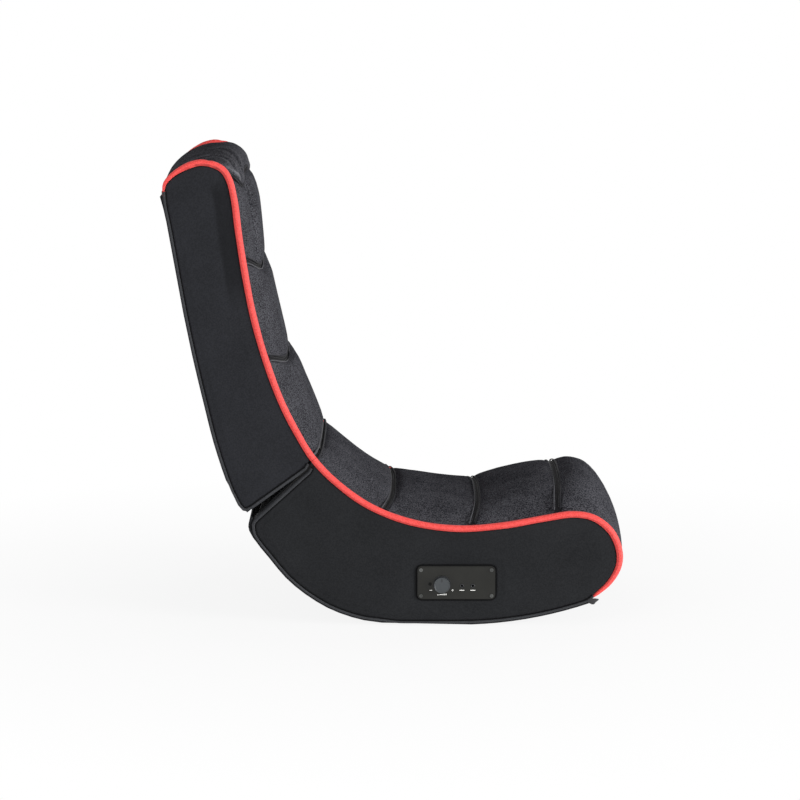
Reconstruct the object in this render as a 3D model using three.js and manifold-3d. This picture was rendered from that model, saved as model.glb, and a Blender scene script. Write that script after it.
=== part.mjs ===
// Floor rocker chair with a folding back: boards shaped to the side profile, curved panels between
// them, channelled pads, corded edges, two head speakers and a small audio panel.
// Millimetres. X points forward, Y to the sitter's left, Z up. Z = 0 is the floor.
import * as THREE from 'three';
import { mergeVertices } from 'three/addons/utils/BufferGeometryUtils.js';
import Module from 'manifold-3d';

const wasm = await Module();
wasm.setup();

// Overall sizes
const profileLength = 740;
const profileHeight = 755;
const overallWidth = 430;

// Clearances and cutters
const fit = 0.3;
const overrun = 5;

// Sheet and board thicknesses
const sideBoard = 15;
const railThickness = 18;
const backDeckThickness = 5;
const seatDeckThickness = 18;
const rearPanelThickness = 2;
const rockerPanelThickness = 6;
const sideCoverThickness = 8;
const coverRecess = 2;
const rearCoverThickness = 3;
const foldCoverThickness = 2.6;
const soleThickness = 4;

// Edge cords
const pipingDiameter = 10.5;
const bindingDiameter = 5;
const bindingLift = 1;

// Pads
const backPadDepth = 14;
const seatPadDepth = 42;
const topRollDepth = 12;
const nosePadDepth = 12;
const pillowShare = 0.465;
const roundOver = 8;
const innerRoundOver = 3;

// Fold
const foldRise = 6;
const foldHalfGap = 3;
const backMitre = THREE.MathUtils.degToRad(2);
const seatMitre = THREE.MathUtils.degToRad(7.5);
const foldCoverStart = 3;
const foldKneeDepth = 18.4;
const backKneeForward = 7.8;
const seatKneeForward = 8.8;
const backRearForward = 4.7;
const seatRearForward = 18.3;
const cornerRadius = 9;
const rearStop = 45;
const topRailStop = 30;
const edgeReach = 40;

// Hinges
const hingeWidth = 64;
const hingeFromSide = 105;
const leafThickness = 1.6;
const leafReach = 62;
const knuckleRadius = 4;
const hingePinRadius = 1.8;

// Cross rails
const middleRailWidth = 20;
const middleRailDepth = 30;

// Speakers
const speakerRadius = 38;
const speakerThroat = 30;
const speakerDepth = 34;
const magnetRadius = 24;
const magnetHeight = 14;
const speakerFlange = 4;
const speakerFromSide = 65;
const boardHoleCount = 5;
const boardHoleRadiusShare = 0.3;
const boardHolePitchShare = 0.42;
const boardHoleDepthShare = 0.48;
const boardHoleStartShare = 0.17;
const boardHoleEndShare = 0.43;
const coneShare = 0.6;
const dustCapShare = 0.4;

// Audio panel
const panelWidth = 123;
const panelHeight = 53;
const panelCorner = 8;
const panelProud = 0.5;
const panelPlate = 3.2;
const panelWall = 2.4;
const panelEdgeRound = 1.2;
const amplifierInset = 9.5;
const amplifierDepth = 40;
const amplifierWall = 2;
const amplifierCorner = 4;
const circuitThickness = 1.6;
const circuitMargin = 0.5;
const componentDepth = 9;
const knobRadius = 12.5;
const knobHeight = 8.4;
const knobChamfer = 1.2;
const knobLift = 0.6;
const shaftRadius = 3;
const shaftSeat = 5;
const potentiometerRadius = 8;
const lampRadius = 2.3;
const socketRadius = 3.2;
const socketBore = 1.75;
const socketPitchShare = 0.14;
const socketBlockHeight = 9;
const screwHeadRadius = 3;
const screwHeadHeight = 1.3;
const screwShankRadius = 1.5;
const screwLength = 20;
const screwFromEdge = 5.8;
const driveSlotWidth = 0.9;
const driveSlotDepth = 0.7;

// Counts of facets and of samples
const curveSamples = 1200;
const curveStepShare = 1 / 36;
const curveTurn = THREE.MathUtils.degToRad(15);
const frontArcSteps = 10;
const cornerSteps = 4;
const loopReach = 8;
const pipingSides = 10;
const bindingSides = 6;
const turnedSides = 28;
const barSides = 20;
const smallBarSides = 12;
const panelArcSegments = 5;
const acrossSteps = 14;

// Places on the panel, from its centre, as shares of its width and height
const knobShares = [-0.1846, -0.0491];
const lampShares = [-0.3374, -0.0377];
const socketShares = [0.1423, -0.0906];

// The panel's centre and the rear end of the fold's gap, as shares of the profile
const panelShares = [0.6262, 0.0914];
const foldGapShares = [0.1821, 0.247];

// Side profile of the corded edge, rear top of the head to the front end of the nose, as shares of
// the profile's length and height
const rimShares = [
  [0.0053, 0.9059], [0.0095, 0.9269], [0.0244, 0.9437], [0.0488, 0.9583], [0.087, 0.9699],
  [0.1167, 0.9653], [0.1358, 0.9541], [0.1485, 0.9332], [0.1581, 0.8933], [0.1665, 0.8261],
  [0.1793, 0.7421], [0.1962, 0.6539], [0.2206, 0.5658], [0.2546, 0.4734], [0.2885, 0.4062],
  [0.3225, 0.3521], [0.3713, 0.3023], [0.4392, 0.254], [0.524, 0.2204], [0.6259, 0.2053],
  [0.7277, 0.212], [0.8126, 0.2267], [0.8762, 0.2355], [0.9187, 0.2278], [0.9547, 0.2005],
  [0.9728, 0.1627], [0.9738, 0.127], [0.9569, 0.0924], [0.9187, 0.0546],
];

// Rear edge of the back, top to bottom, running a little past the fold
const rearShares = [
  [0.0019, 0.9005], [0.0106, 0.8681], [0.0191, 0.8261], [0.0339, 0.7421], [0.0488, 0.6581],
  [0.0658, 0.5742], [0.0891, 0.4734], [0.1146, 0.3726], [0.1506, 0.2719], [0.174, 0.234],
];

// Rear of the seat and the rocker's rear curve, from the fold down to the flat that it rests on
const rockerRearShares = [
  [0.1888, 0.2299], [0.1831, 0.2131], [0.1856, 0.1984], [0.2037, 0.1711], [0.2313, 0.1375],
  [0.2588, 0.1039], [0.297, 0.0703], [0.3501, 0.0367], [0.3946, 0.0188], [0.4425, 0.0058],
];
const restStartShare = 0.467;
const restEndShare = 0.6301;
const rockerFrontRiseShare = 0.0466;
const rockerFrontShare = 0.913;

// Seams across the pads, as shares of the corded edge's length
const shoulderShare = 0.1166;
const upperSeamShare = 0.2161;
const lowerSeamShare = 0.3438;
const foldShare = 0.4852;
const seatRearSeamShare = 0.5973;
const seatMiddleSeamShare = 0.7136;
const seatFrontSeamShare = 0.8237;
const speakerShare = 0.166;
const topRailStartShare = 0.02;

// Pad heights over the corded edge, along each pad: [share of the pad's length, share of its crown]
const puffShares = [[0, 0.72], [0.1, 0.87], [0.3, 0.98], [0.5, 1], [0.7, 0.98], [0.9, 0.87], [1, 0.72]];
const topRollShares = [[0, 0.3], [0.12, 0.7], [0.35, 1], [0.6, 1], [0.85, 1.1], [1, 0.85]];
const headShares = [[0, 0.7], [0.12, 0.86], [0.35, 0.98], [0.6, 1], [0.88, 0.9], [1, 0.78]];
const lumbarShares = [[0, 0.82], [0.1, 0.9], [0.3, 1], [0.6, 0.98], [0.88, 0.78], [1, 0.55]];
const seatRearShares = [[0, 0.6], [0.12, 0.82], [0.4, 1], [0.7, 1.03], [0.92, 0.98], [1, 0.9]];
const seatMiddleShares = [[0, 0.7], [0.1, 0.82], [0.35, 0.96], [0.6, 1.01], [0.9, 0.98], [1, 0.9]];
const seatFrontShares = [[0, 0.75], [0.1, 0.86], [0.35, 0.97], [0.65, 1.01], [0.9, 0.97], [1, 0.9]];
const noseShares = [
  [0, 0.88], [0.08, 0.98], [0.19, 0.96], [0.26, 0.74], [0.33, 0.52], [0.42, 0.34], [0.52, 0.28],
  [0.66, 0.31], [0.8, 0.33], [0.92, 0.22], [1, 0.08],
];
const topRollCrown = 17;
const podCrown = 24;
const pillowCrown = 28;
const upperCrown = 31;
const lumbarCrown = 34;
const seatRearCrown = 31;
const seatMiddleCrown = 40;
const seatFrontCrown = 49;
const noseCrown = 50;

// How a pad falls to the corded edge and dips at a lengthwise seam
const fallPower = 2.6;
const fallRoot = 0.6;
const seamDipShare = 0.22;
const seamDipWidth = 26;

// Derived places
const halfWidth = overallWidth / 2;
const pipingRadius = pipingDiameter / 2;
const bindingRadius = bindingDiameter / 2;
const pipingSideways = halfWidth - pipingRadius;
const coverOuter = halfWidth - coverRecess;
const coverInner = coverOuter - sideCoverThickness;
const boardOuter = coverInner - fit;
const boardInner = boardOuter - sideBoard;
const betweenBoards = boardInner - fit;
const padEdge = pipingSideways - pipingRadius - fit;
const padEdgeDrop = pipingRadius;
const rimDrop = pipingRadius + fit;
const bindingSideways = halfWidth - bindingRadius;
const betweenBindings = bindingSideways - bindingRadius - fit;
const pillowHalfWidth = pillowShare * halfWidth;
const speakerSideways = halfWidth - speakerFromSide;
const podDepth = backPadDepth - speakerFlange - 6 * fit;
const panelFace = halfWidth + panelProud;
const amplifierWidth = panelWidth - 2 * amplifierInset;
const amplifierHeight = panelHeight - 2 * amplifierInset;
const knobPlace = onPanel(knobShares);
const lampPlace = onPanel(lampShares);
const socketPlace = onPanel(socketShares);
const socketPitch = panelWidth * socketPitchShare;

function onPanel([along, up]) {
  return [along * panelWidth, up * panelHeight];
}

// Colours
const finishes = {
  backFabric: { color: 0x2d2e32, roughness: 0.9, metalness: 0 },
  seatFabric: { color: 0x2a2b2e, roughness: 0.9, metalness: 0 },
  backPad: { color: 0x46464a, roughness: 0.85, metalness: 0 },
  seatPad: { color: 0x38393d, roughness: 0.85, metalness: 0 },
  piping: { color: 0xf5625f, roughness: 0.7, metalness: 0 },
  binding: { color: 0x3a3b3e, roughness: 0.8, metalness: 0 },
  plywood: { color: 0xc9a877, roughness: 0.75, metalness: 0 },
  fibreboard: { color: 0x8a6a45, roughness: 0.85, metalness: 0 },
  steel: { color: 0x9a9c9f, roughness: 0.4, metalness: 0.9 },
  sole: { color: 0x1d1e20, roughness: 0.95, metalness: 0 },
  panel: { color: 0x353533, roughness: 0.3, metalness: 0 },
  knob: { color: 0x494d50, roughness: 0.45, metalness: 0 },
  housing: { color: 0x202124, roughness: 0.5, metalness: 0 },
  circuit: { color: 0x2c5a34, roughness: 0.5, metalness: 0 },
  lamp: { color: 0xc8d0d4, roughness: 0.2, metalness: 0 },
  speaker: { color: 0x222326, roughness: 0.6, metalness: 0.2 },
};

// A line of points in the side plane, each with the normal to the left of its direction
class Line {
  constructor(points) {
    this.points = points;
    this.distances = [0];
    for (let i = 1; i < points.length; i++) {
      this.distances.push(this.distances[i - 1] + points[i].distanceTo(points[i - 1]));
    }
    this.normals = points.map((point, i) => {
      const before = points[Math.max(i - 1, 0)];
      const after = points[Math.min(i + 1, points.length - 1)];
      const along = after.clone().sub(before).normalize();
      return new THREE.Vector2(-along.y, along.x);
    });
  }

  get length() {
    return this.distances[this.distances.length - 1];
  }

  at(distance) {
    let i = 1;
    while (i < this.points.length - 1 && this.distances[i] < distance) i += 1;
    const span = this.distances[i] - this.distances[i - 1];
    const share = (distance - this.distances[i - 1]) / span;
    const point = this.points[i - 1].clone().lerp(this.points[i], share);
    const normal = this.normals[i - 1].clone().lerp(this.normals[i], share).normalize();
    return { point, normal };
  }

  // The line's own stations between two distances, with the ends and any extra places
  stations(from, to, extra = []) {
    const wanted = [from, ...extra, to];
    const clear = roundOver / 4;
    const own = this.distances.filter(
      (d) => d > from && d < to && wanted.every((place) => Math.abs(place - d) > clear),
    );
    return [...wanted, ...own].sort((a, b) => a - b);
  }

  offset(distance, from = 0, to = this.length) {
    return withoutLoops(this.stations(from, to).map((d) => {
      const { point, normal } = this.at(d);
      return point.addScaledVector(normal, distance);
    }));
  }
}

// Where the line through a and b meets the line through c and d
function meet(a, b, c, d) {
  const u = b.clone().sub(a);
  const v = d.clone().sub(c);
  const w = c.clone().sub(a);
  const share = w.cross(v) / u.cross(v);
  return a.clone().addScaledVector(u, share);
}

function sideOf(point, a, b) {
  return Math.sign(b.clone().sub(a).cross(point.clone().sub(a)));
}

function stretchesCross(a, b, c, d) {
  return sideOf(a, c, d) * sideOf(b, c, d) < 0 && sideOf(c, a, b) * sideOf(d, a, b) < 0;
}

// Takes out the small loops of an offset line, where it bends tighter than it is offset
function withoutLoops(points) {
  const kept = [];
  for (let i = 0; i < points.length; i++) {
    kept.push(points[i]);
    for (let j = Math.min(i + loopReach, points.length - 2); j > i + 1; j--) {
      if (!stretchesCross(points[i], points[i + 1], points[j], points[j + 1])) continue;
      kept.push(meet(points[i], points[i + 1], points[j], points[j + 1]));
      i = j;
      break;
    }
  }
  return kept;
}

// Points along a smooth curve, closer together where it bends
function sampleCurve(points) {
  const maxStep = profileLength * curveStepShare;
  const curve = new THREE.CatmullRomCurve3(
    points.map((p) => new THREE.Vector3(p.x, p.y, 0)), false, 'centripetal',
  );
  const fine = curve.getSpacedPoints(curveSamples).map((p) => new THREE.Vector2(p.x, p.y));
  const kept = [fine[0]];
  let turn = 0;
  for (let i = 1; i < fine.length - 1; i++) {
    const ahead = fine[i + 1].clone().sub(fine[i]).angle();
    const behind = fine[i].clone().sub(fine[i - 1]).angle();
    const bend = Math.abs(ahead - behind);
    turn += Math.min(bend, 2 * Math.PI - bend);
    const step = fine[i].distanceTo(kept[kept.length - 1]);
    if (turn > curveTurn || step > maxStep) {
      kept.push(fine[i]);
      turn = 0;
    }
  }
  const last = fine[fine.length - 1];
  if (last.distanceTo(kept[kept.length - 1]) < maxStep / 8) kept.pop();
  kept.push(last);
  return kept;
}

function fromShares([lengthShare, heightShare]) {
  return new THREE.Vector2((lengthShare - 0.5) * profileLength, heightShare * profileHeight);
}

const rim = new Line(sampleCurve(rimShares.map(fromShares)));
const rear = new Line(sampleCurve(rearShares.map(fromShares)));
const rest = {
  start: fromShares([restStartShare, 0]),
  end: fromShares([restEndShare, 0]),
};
const panelCentre = fromShares(panelShares);

// The rocker: its rear curve, the flat that it rests on and the front arc
function rockerPoints() {
  const rearPart = sampleCurve([...rockerRearShares.map(fromShares), rest.start]);
  const tip = fromShares([rockerFrontShare, rockerFrontRiseShare]);
  const front = tip.x - rest.end.x;
  const radius = (front ** 2 + tip.y ** 2) / (2 * tip.y);
  const sweep = Math.asin(front / radius);
  const frontPart = [];
  for (let i = 1; i <= frontArcSteps; i++) {
    const angle = (sweep * i) / frontArcSteps;
    frontPart.push(new THREE.Vector2(
      rest.end.x + radius * Math.sin(angle),
      radius * (1 - Math.cos(angle)),
    ));
  }
  return [...rearPart, rest.end, ...frontPart];
}

const rocker = new Line(rockerPoints());

// The fold's own frame: depth runs from the corded edge to the rear end of the gap, forward runs
// towards the seat
const foldDistance = foldShare * rim.length;
const foldFront = rim.at(foldDistance).point;
const foldGap = fromShares(foldGapShares);
const foldDepth = foldFront.distanceTo(foldGap);
const foldOut = foldFront.clone().sub(foldGap).normalize();
const foldForward = new THREE.Vector2(foldOut.y, -foldOut.x);

function foldPoint(depth, forward) {
  return foldFront.clone()
    .addScaledVector(foldOut, -depth)
    .addScaledVector(foldForward, forward);
}

// The mitred wooden faces of the fold
function backFace(depth) {
  return -foldHalfGap + depth * Math.tan(backMitre);
}

function seatFace(depth) {
  return foldHalfGap + depth * Math.tan(seatMitre);
}

// The points of a line from its start to where a straight face cuts it
function untilFace(points, a, b) {
  const first = sideOf(points[0], a, b);
  const cut = points.findIndex((point) => sideOf(point, a, b) !== first);
  if (cut < 0) return points;
  return [...points.slice(0, cut), meet(points[cut - 1], points[cut], a, b)];
}

function insetOutline(points, distance) {
  const turning = THREE.ShapeUtils.area(points) > 0 ? 1 : -1;
  const count = points.length;
  return points.map((point, i) => {
    const before = point.clone().sub(points[(i + count - 1) % count]).normalize();
    const after = points[(i + 1) % count].clone().sub(point).normalize();
    const first = new THREE.Vector2(-before.y, before.x).multiplyScalar(turning);
    const second = new THREE.Vector2(-after.y, after.x).multiplyScalar(turning);
    const middle = first.clone().add(second).divideScalar(1 + first.dot(second));
    return point.clone().addScaledVector(middle, distance);
  });
}

// The points with one corner rounded
function rounded(points, place) {
  const corner = points[place];
  const [start, end] = [points[place - 1], points[place + 1]].map((point) => {
    const away = point.clone().sub(corner).normalize();
    return corner.clone().addScaledVector(away, cornerRadius);
  });
  const curve = new THREE.QuadraticBezierCurve(start, corner, end);
  return [...points.slice(0, place), ...curve.getPoints(cornerSteps), ...points.slice(place + 1)];
}

// Solids

function toSolid(geometry) {
  const bare = geometry.clone();
  bare.deleteAttribute('normal');
  bare.deleteAttribute('uv');
  const merged = mergeVertices(bare);
  return new wasm.Manifold(new wasm.Mesh({
    numProp: 3,
    vertProperties: new Float32Array(merged.attributes.position.array),
    triVerts: new Uint32Array(merged.index.array),
  }));
}

function toGeometry(solid) {
  const mesh = solid.getMesh();
  const geometry = new THREE.BufferGeometry();
  geometry.setAttribute('position', new THREE.BufferAttribute(mesh.vertProperties, 3));
  geometry.setIndex(new THREE.BufferAttribute(mesh.triVerts, 1));
  geometry.computeVertexNormals();
  return geometry;
}

function cut(geometry, cutters) {
  return toGeometry(cutters.reduce((solid, cutter) => solid.subtract(toSolid(cutter)), toSolid(geometry)));
}

function join(geometries) {
  return toGeometry(geometries.map(toSolid).reduce((solid, next) => solid.add(next)));
}

// A plate whose outline lies in the side plane, between two sideways places
function plate(outline, low, high) {
  const depth = high - low;
  const geometry = new THREE.ExtrudeGeometry(new THREE.Shape(outline), { depth, bevelEnabled: false });
  return geometry.rotateX(Math.PI / 2).translate(0, high, 0);
}

// A panel that follows a line, between two offsets from it
function band(line, from, to, outer, inner, halfSpan) {
  const outline = [...line.offset(outer, from, to), ...line.offset(inner, from, to).reverse()];
  return plate(outline, -halfSpan, halfSpan);
}

// A round bar across the chair, or along Y at one side
function barAcross(place, up, radius, low, high, sides = barSides) {
  const geometry = new THREE.CylinderGeometry(radius, radius, high - low, sides);
  return geometry.translate(place, (low + high) / 2, up);
}

// A cord of round section through the points of a line in the side plane
class CordPath extends THREE.Curve {
  constructor(points, sideways) {
    super();
    this.line = new Line(points);
    this.sideways = sideways;
  }

  index(t) {
    return Math.round(t * (this.line.points.length - 1));
  }

  getPoint(t) {
    const point = this.line.points[this.index(t)];
    return new THREE.Vector3(point.x, this.sideways, point.y);
  }

  getPointAt(t) {
    return this.getPoint(t);
  }

  getTangentAt(t) {
    const normal = this.line.normals[this.index(t)];
    return new THREE.Vector3(normal.y, 0, -normal.x);
  }
}

function cord(points, sideways, radius, sides) {
  const extrudePath = new CordPath(points, sideways);
  const shape = new THREE.Shape();
  for (let i = 0; i < sides; i++) {
    const angle = (2 * Math.PI * i) / sides;
    const x = radius * Math.cos(angle);
    const y = radius * Math.sin(angle);
    if (i === 0) shape.moveTo(x, y);
    else shape.lineTo(x, y);
  }
  return new THREE.ExtrudeGeometry(shape, { steps: points.length - 1, extrudePath });
}

// Pads

function interpolate(shares, place) {
  let i = 1;
  while (i < shares.length - 1 && shares[i][0] < place) i += 1;
  const [fromPlace, fromShare] = shares[i - 1];
  const [toPlace, toShare] = shares[i];
  return THREE.MathUtils.mapLinear(place, fromPlace, toPlace, fromShare, toShare);
}

// Height across a pad: it rises steeply from the corded edge and dips at a lengthwise seam
function acrossShare(y, pad) {
  const fall = (1 - Math.min(Math.abs(y) / padEdge, 1) ** fallPower) ** fallRoot;
  const seams = [pad.low, pad.high].filter((edge) => Math.abs(edge) < padEdge);
  const dip = seams.reduce((most, seam) => {
    const near = Math.max(0, 1 - Math.abs(y - seam) / seamDipWidth);
    return Math.max(most, near * near);
  }, 0);
  return fall * (1 - seamDipShare * dip);
}

// One cross-section as [sideways, out] pairs: over the crown from the high edge, then under the pad
function padSection(pad, crown) {
  const isRim = (edge) => Math.abs(edge) >= padEdge;
  const under = (edge) => (isRim(edge)
    ? [
      [Math.sign(edge) * betweenBoards, -pad.depth],
      [Math.sign(edge) * betweenBoards, -padEdgeDrop],
      [edge, -padEdgeDrop],
    ]
    : [[edge, -pad.depth]]);
  const middle = (pad.low + pad.high) / 2;
  const half = (pad.high - pad.low) / 2;
  const over = [];
  for (let i = 0; i <= acrossSteps; i++) {
    const y = middle - half * Math.cos((Math.PI * i) / acrossSteps);
    over.push([y, crown * acrossShare(y, pad)]);
  }
  return [...under(pad.low), ...over, ...under(pad.high).reverse()].reverse();
}

// A closed skin over cross-sections that all have the same number of points
function loft(rings, section) {
  const count = section.length;
  const positions = rings.flat().flatMap((p) => [p.x, p.y, p.z]);
  const indices = [];
  for (let r = 0; r < rings.length - 1; r++) {
    for (let i = 0; i < count; i++) {
      const a = r * count + i;
      const b = r * count + ((i + 1) % count);
      indices.push(a, b, a + count, b, b + count, a + count);
    }
  }
  const last = (rings.length - 1) * count;
  const outline = section.map(([x, y]) => new THREE.Vector2(x, y));
  const caps = THREE.ShapeUtils.triangulateShape(outline, []);
  for (const [a, b, c] of caps) {
    indices.push(a, c, b);
    indices.push(last + a, last + b, last + c);
  }
  const geometry = new THREE.BufferGeometry();
  geometry.setAttribute('position', new THREE.Float32BufferAttribute(positions, 3));
  geometry.setIndex(indices);
  geometry.computeVertexNormals();
  return geometry;
}

function padBody(pad) {
  const ends = [
    pad.from + innerRoundOver, pad.from + roundOver, pad.to - roundOver, pad.to - innerRoundOver,
  ];
  const distances = rim.stations(pad.from, pad.to, ends);
  const rings = distances.map((distance) => {
    const { point, normal } = rim.at(distance);
    const crown = pad.crown * interpolate(pad.shares, (distance - pad.from) / (pad.to - pad.from));
    return padSection(pad, crown).map(([y, out]) => new THREE.Vector3(
      point.x + normal.x * out, y, point.y + normal.y * out,
    ));
  });
  return loft(rings, padSection(pad, pad.crown));
}

const seamAt = (share) => share * rim.length;
const wholeWidth = { low: -padEdge, high: padEdge };

const padPlans = {
  top_roll: {
    ...wholeWidth, from: 0, to: seamAt(shoulderShare) - fit / 2,
    depth: topRollDepth, crown: topRollCrown, shares: topRollShares, finish: 'backPad',
  },
  speaker_pod_right: {
    low: -padEdge, high: -pillowHalfWidth - fit / 2,
    from: seamAt(shoulderShare) + fit / 2, to: seamAt(upperSeamShare) - fit / 2,
    depth: podDepth, crown: podCrown, shares: headShares, finish: 'backPad',
  },
  head_pillow: {
    low: -pillowHalfWidth + fit / 2, high: pillowHalfWidth - fit / 2,
    from: seamAt(shoulderShare) + fit / 2, to: seamAt(upperSeamShare) - fit / 2,
    depth: backPadDepth, crown: pillowCrown, shares: headShares, finish: 'backPad',
  },
  speaker_pod_left: {
    low: pillowHalfWidth + fit / 2, high: padEdge,
    from: seamAt(shoulderShare) + fit / 2, to: seamAt(upperSeamShare) - fit / 2,
    depth: podDepth, crown: podCrown, shares: headShares, finish: 'backPad',
  },
  upper_back_pad: {
    ...wholeWidth, from: seamAt(upperSeamShare) + fit / 2, to: seamAt(lowerSeamShare) - fit / 2,
    depth: backPadDepth, crown: upperCrown, shares: puffShares, finish: 'backPad',
  },
  lumbar_pad: {
    ...wholeWidth, from: seamAt(lowerSeamShare) + fit / 2, to: foldDistance + foldHalfGap,
    depth: backPadDepth, crown: lumbarCrown, shares: lumbarShares, finish: 'backPad',
    atFold: [backFace, -1],
  },
  seat_rear_pad: {
    ...wholeWidth, from: foldDistance - foldHalfGap, to: seamAt(seatRearSeamShare) - fit / 2,
    depth: seatPadDepth, crown: seatRearCrown, shares: seatRearShares, finish: 'seatPad',
    atFold: [seatFace, 1],
  },
  seat_middle_pad: {
    ...wholeWidth, from: seamAt(seatRearSeamShare) + fit / 2, to: seamAt(seatMiddleSeamShare) - fit / 2,
    depth: seatPadDepth, crown: seatMiddleCrown, shares: seatMiddleShares, finish: 'seatPad',
  },
  seat_front_pad: {
    ...wholeWidth, from: seamAt(seatMiddleSeamShare) + fit / 2, to: seamAt(seatFrontSeamShare) - fit / 2,
    depth: seatPadDepth, crown: seatFrontCrown, shares: seatFrontShares, finish: 'seatPad',
  },
  nose_pad: {
    ...wholeWidth, from: seamAt(seatFrontSeamShare) + fit / 2, to: rim.length,
    depth: nosePadDepth, crown: noseCrown, shares: noseShares, finish: 'seatPad',
  },
};

// Side outlines

const coverInset = bindingDiameter + fit;
const outlineDrop = rimDrop - coverInset;
const boardLift = rockerPanelThickness + soleThickness + 2 * fit;
const boardInset = rearPanelThickness + rearCoverThickness + 2 * fit;

// Points with their last end carried on straight, so that the fold's faces can cut it
function carriedOn(points) {
  const last = points[points.length - 1];
  const along = last.clone().sub(points[points.length - 2]).normalize();
  return [...points, last.clone().addScaledVector(along, edgeReach)];
}

// The rocker's edge at some lift, from the square end of the nose to the fold
function rockerEdge(lift, noseDrop) {
  const { point, normal } = rim.at(rim.length);
  const noseEnd = point.clone().addScaledVector(normal, -noseDrop);
  const lower = untilFace(rocker.offset(lift), noseEnd, noseEnd.clone().sub(normal));
  return carriedOn(lower.reverse());
}

const backRearEdge = carriedOn(rear.offset(boardInset));
const seatRearEdge = rockerEdge(boardLift, rimDrop);

// The points that lie further from a corner than its radius
function clearOf(points, corner, radius) {
  return points.filter((point) => point.distanceTo(corner) > radius);
}

// The outer edge of the back's side: corded edge, fold edge, rear edge, with the corner to round
function backOutline() {
  const front = rim.offset(-outlineDrop, 0, foldDistance - fit / 2);
  const knee = foldPoint(foldKneeDepth, backKneeForward);
  const down = untilFace(carriedOn(rear.offset(0)), knee, foldPoint(foldDepth, backRearForward));
  const corner = down[down.length - 1];
  const rising = clearOf(down, corner, 2 * cornerRadius).reverse();
  const upward = clearOf(rising, front[0], 2 * coverInset);
  return { points: [...front, knee, corner, ...upward], bound: front.length, corner: front.length + 1 };
}

// The outer edge of the seat's side: corded edge, rocker, fold edge
function seatOutline() {
  const front = rim.offset(-outlineDrop, foldDistance + fit / 2, rim.length);
  const knee = foldPoint(foldKneeDepth, seatKneeForward);
  const edge = rockerEdge(bindingLift, outlineDrop);
  const back = untilFace(edge, knee, foldPoint(foldDepth, seatRearForward));
  const corner = back[back.length - 1];
  const along = clearOf(back, corner, 2 * cornerRadius);
  const before = front.length + along.length;
  return { points: [...front, ...along, corner, knee], bound: front.length, corner: before };
}

// A side's outline moved in and rounded, from one of its points on
function sideEdge(side, distance, from = 0) {
  return rounded(insetOutline(side.points, distance), side.corner).slice(from);
}

const backSide = backOutline();
const seatSide = seatOutline();

// A board follows the corded edge and the edge that its panel covers, up to the mitred face
function backBoard(low, high) {
  const front = rim.offset(-rimDrop, 0, foldDistance);
  const down = untilFace(backRearEdge, foldFront, foldGap);
  return cut(plate([...front, ...down.reverse()], low, high), [
    pastFace(backFace, -1, 0), ...boardHoles(low - overrun, high + overrun),
  ]);
}

// Round holes along the middle of a back board, which make it lighter
function boardHoles(low, high) {
  const pitch = (boardHoleEndShare - boardHoleStartShare) * rim.length / (boardHoleCount - 1);
  const holes = [];
  for (let i = 0; i < boardHoleCount; i++) {
    const { point, normal } = rim.at(boardHoleStartShare * rim.length + i * pitch);
    const depth = Math.min(...rear.points.map((other) => other.distanceTo(point)));
    const radius = Math.min(depth * boardHoleRadiusShare, pitch * boardHolePitchShare);
    const middle = point.addScaledVector(normal, -depth * boardHoleDepthShare);
    holes.push(barAcross(middle.x, middle.y, radius, low, high, turnedSides));
  }
  return holes;
}

function seatBoard(low, high) {
  const front = rim.offset(-rimDrop, foldDistance, rim.length);
  const back = untilFace(seatRearEdge, foldFront, foldGap);
  return cut(plate([...front, ...back], low, high), [pastFace(seatFace, 1, 0)]);
}

// Audio panel pieces

function roundedRectangle(width, height, radius) {
  const shape = new THREE.Shape();
  const x = width / 2;
  const y = height / 2;
  shape.moveTo(-x + radius, -y);
  shape.lineTo(x - radius, -y);
  shape.quadraticCurveTo(x, -y, x, -y + radius);
  shape.lineTo(x, y - radius);
  shape.quadraticCurveTo(x, y, x - radius, y);
  shape.lineTo(-x + radius, y);
  shape.quadraticCurveTo(-x, y, -x, y - radius);
  shape.lineTo(-x, -y + radius);
  shape.quadraticCurveTo(-x, -y, -x + radius, -y);
  return shape;
}

// A block of a flat shape on the right-hand side, centred on the audio panel
function panelBlock(shape, outer, inner) {
  const depth = outer - inner;
  const options = { depth, bevelEnabled: false, curveSegments: panelArcSegments };
  const geometry = new THREE.ExtrudeGeometry(shape, options);
  return geometry.rotateX(Math.PI / 2).translate(panelCentre.x, -inner, panelCentre.y);
}

// A round bar through the panel at a place on it, from an outer face to an inner one
function panelBar([along, up], radius, outer, inner, sides = barSides) {
  return barAcross(panelCentre.x + along, panelCentre.y + up, radius, -outer, -inner, sides);
}

const panelBack = panelFace - panelPlate;
const screwPlaces = [[-1, 1], [1, 1], [1, -1], [-1, -1]].map(([along, up]) => [
  along * (panelWidth / 2 - screwFromEdge), up * (panelHeight / 2 - screwFromEdge),
]);
const socketPlaces = [-1, 1].map((side) => [socketPlace[0] + (side * socketPitch) / 2, socketPlace[1]]);
const circuitOuter = panelBack - fit - componentDepth - fit;
const amplifierBack = panelBack - fit - amplifierDepth;

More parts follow.
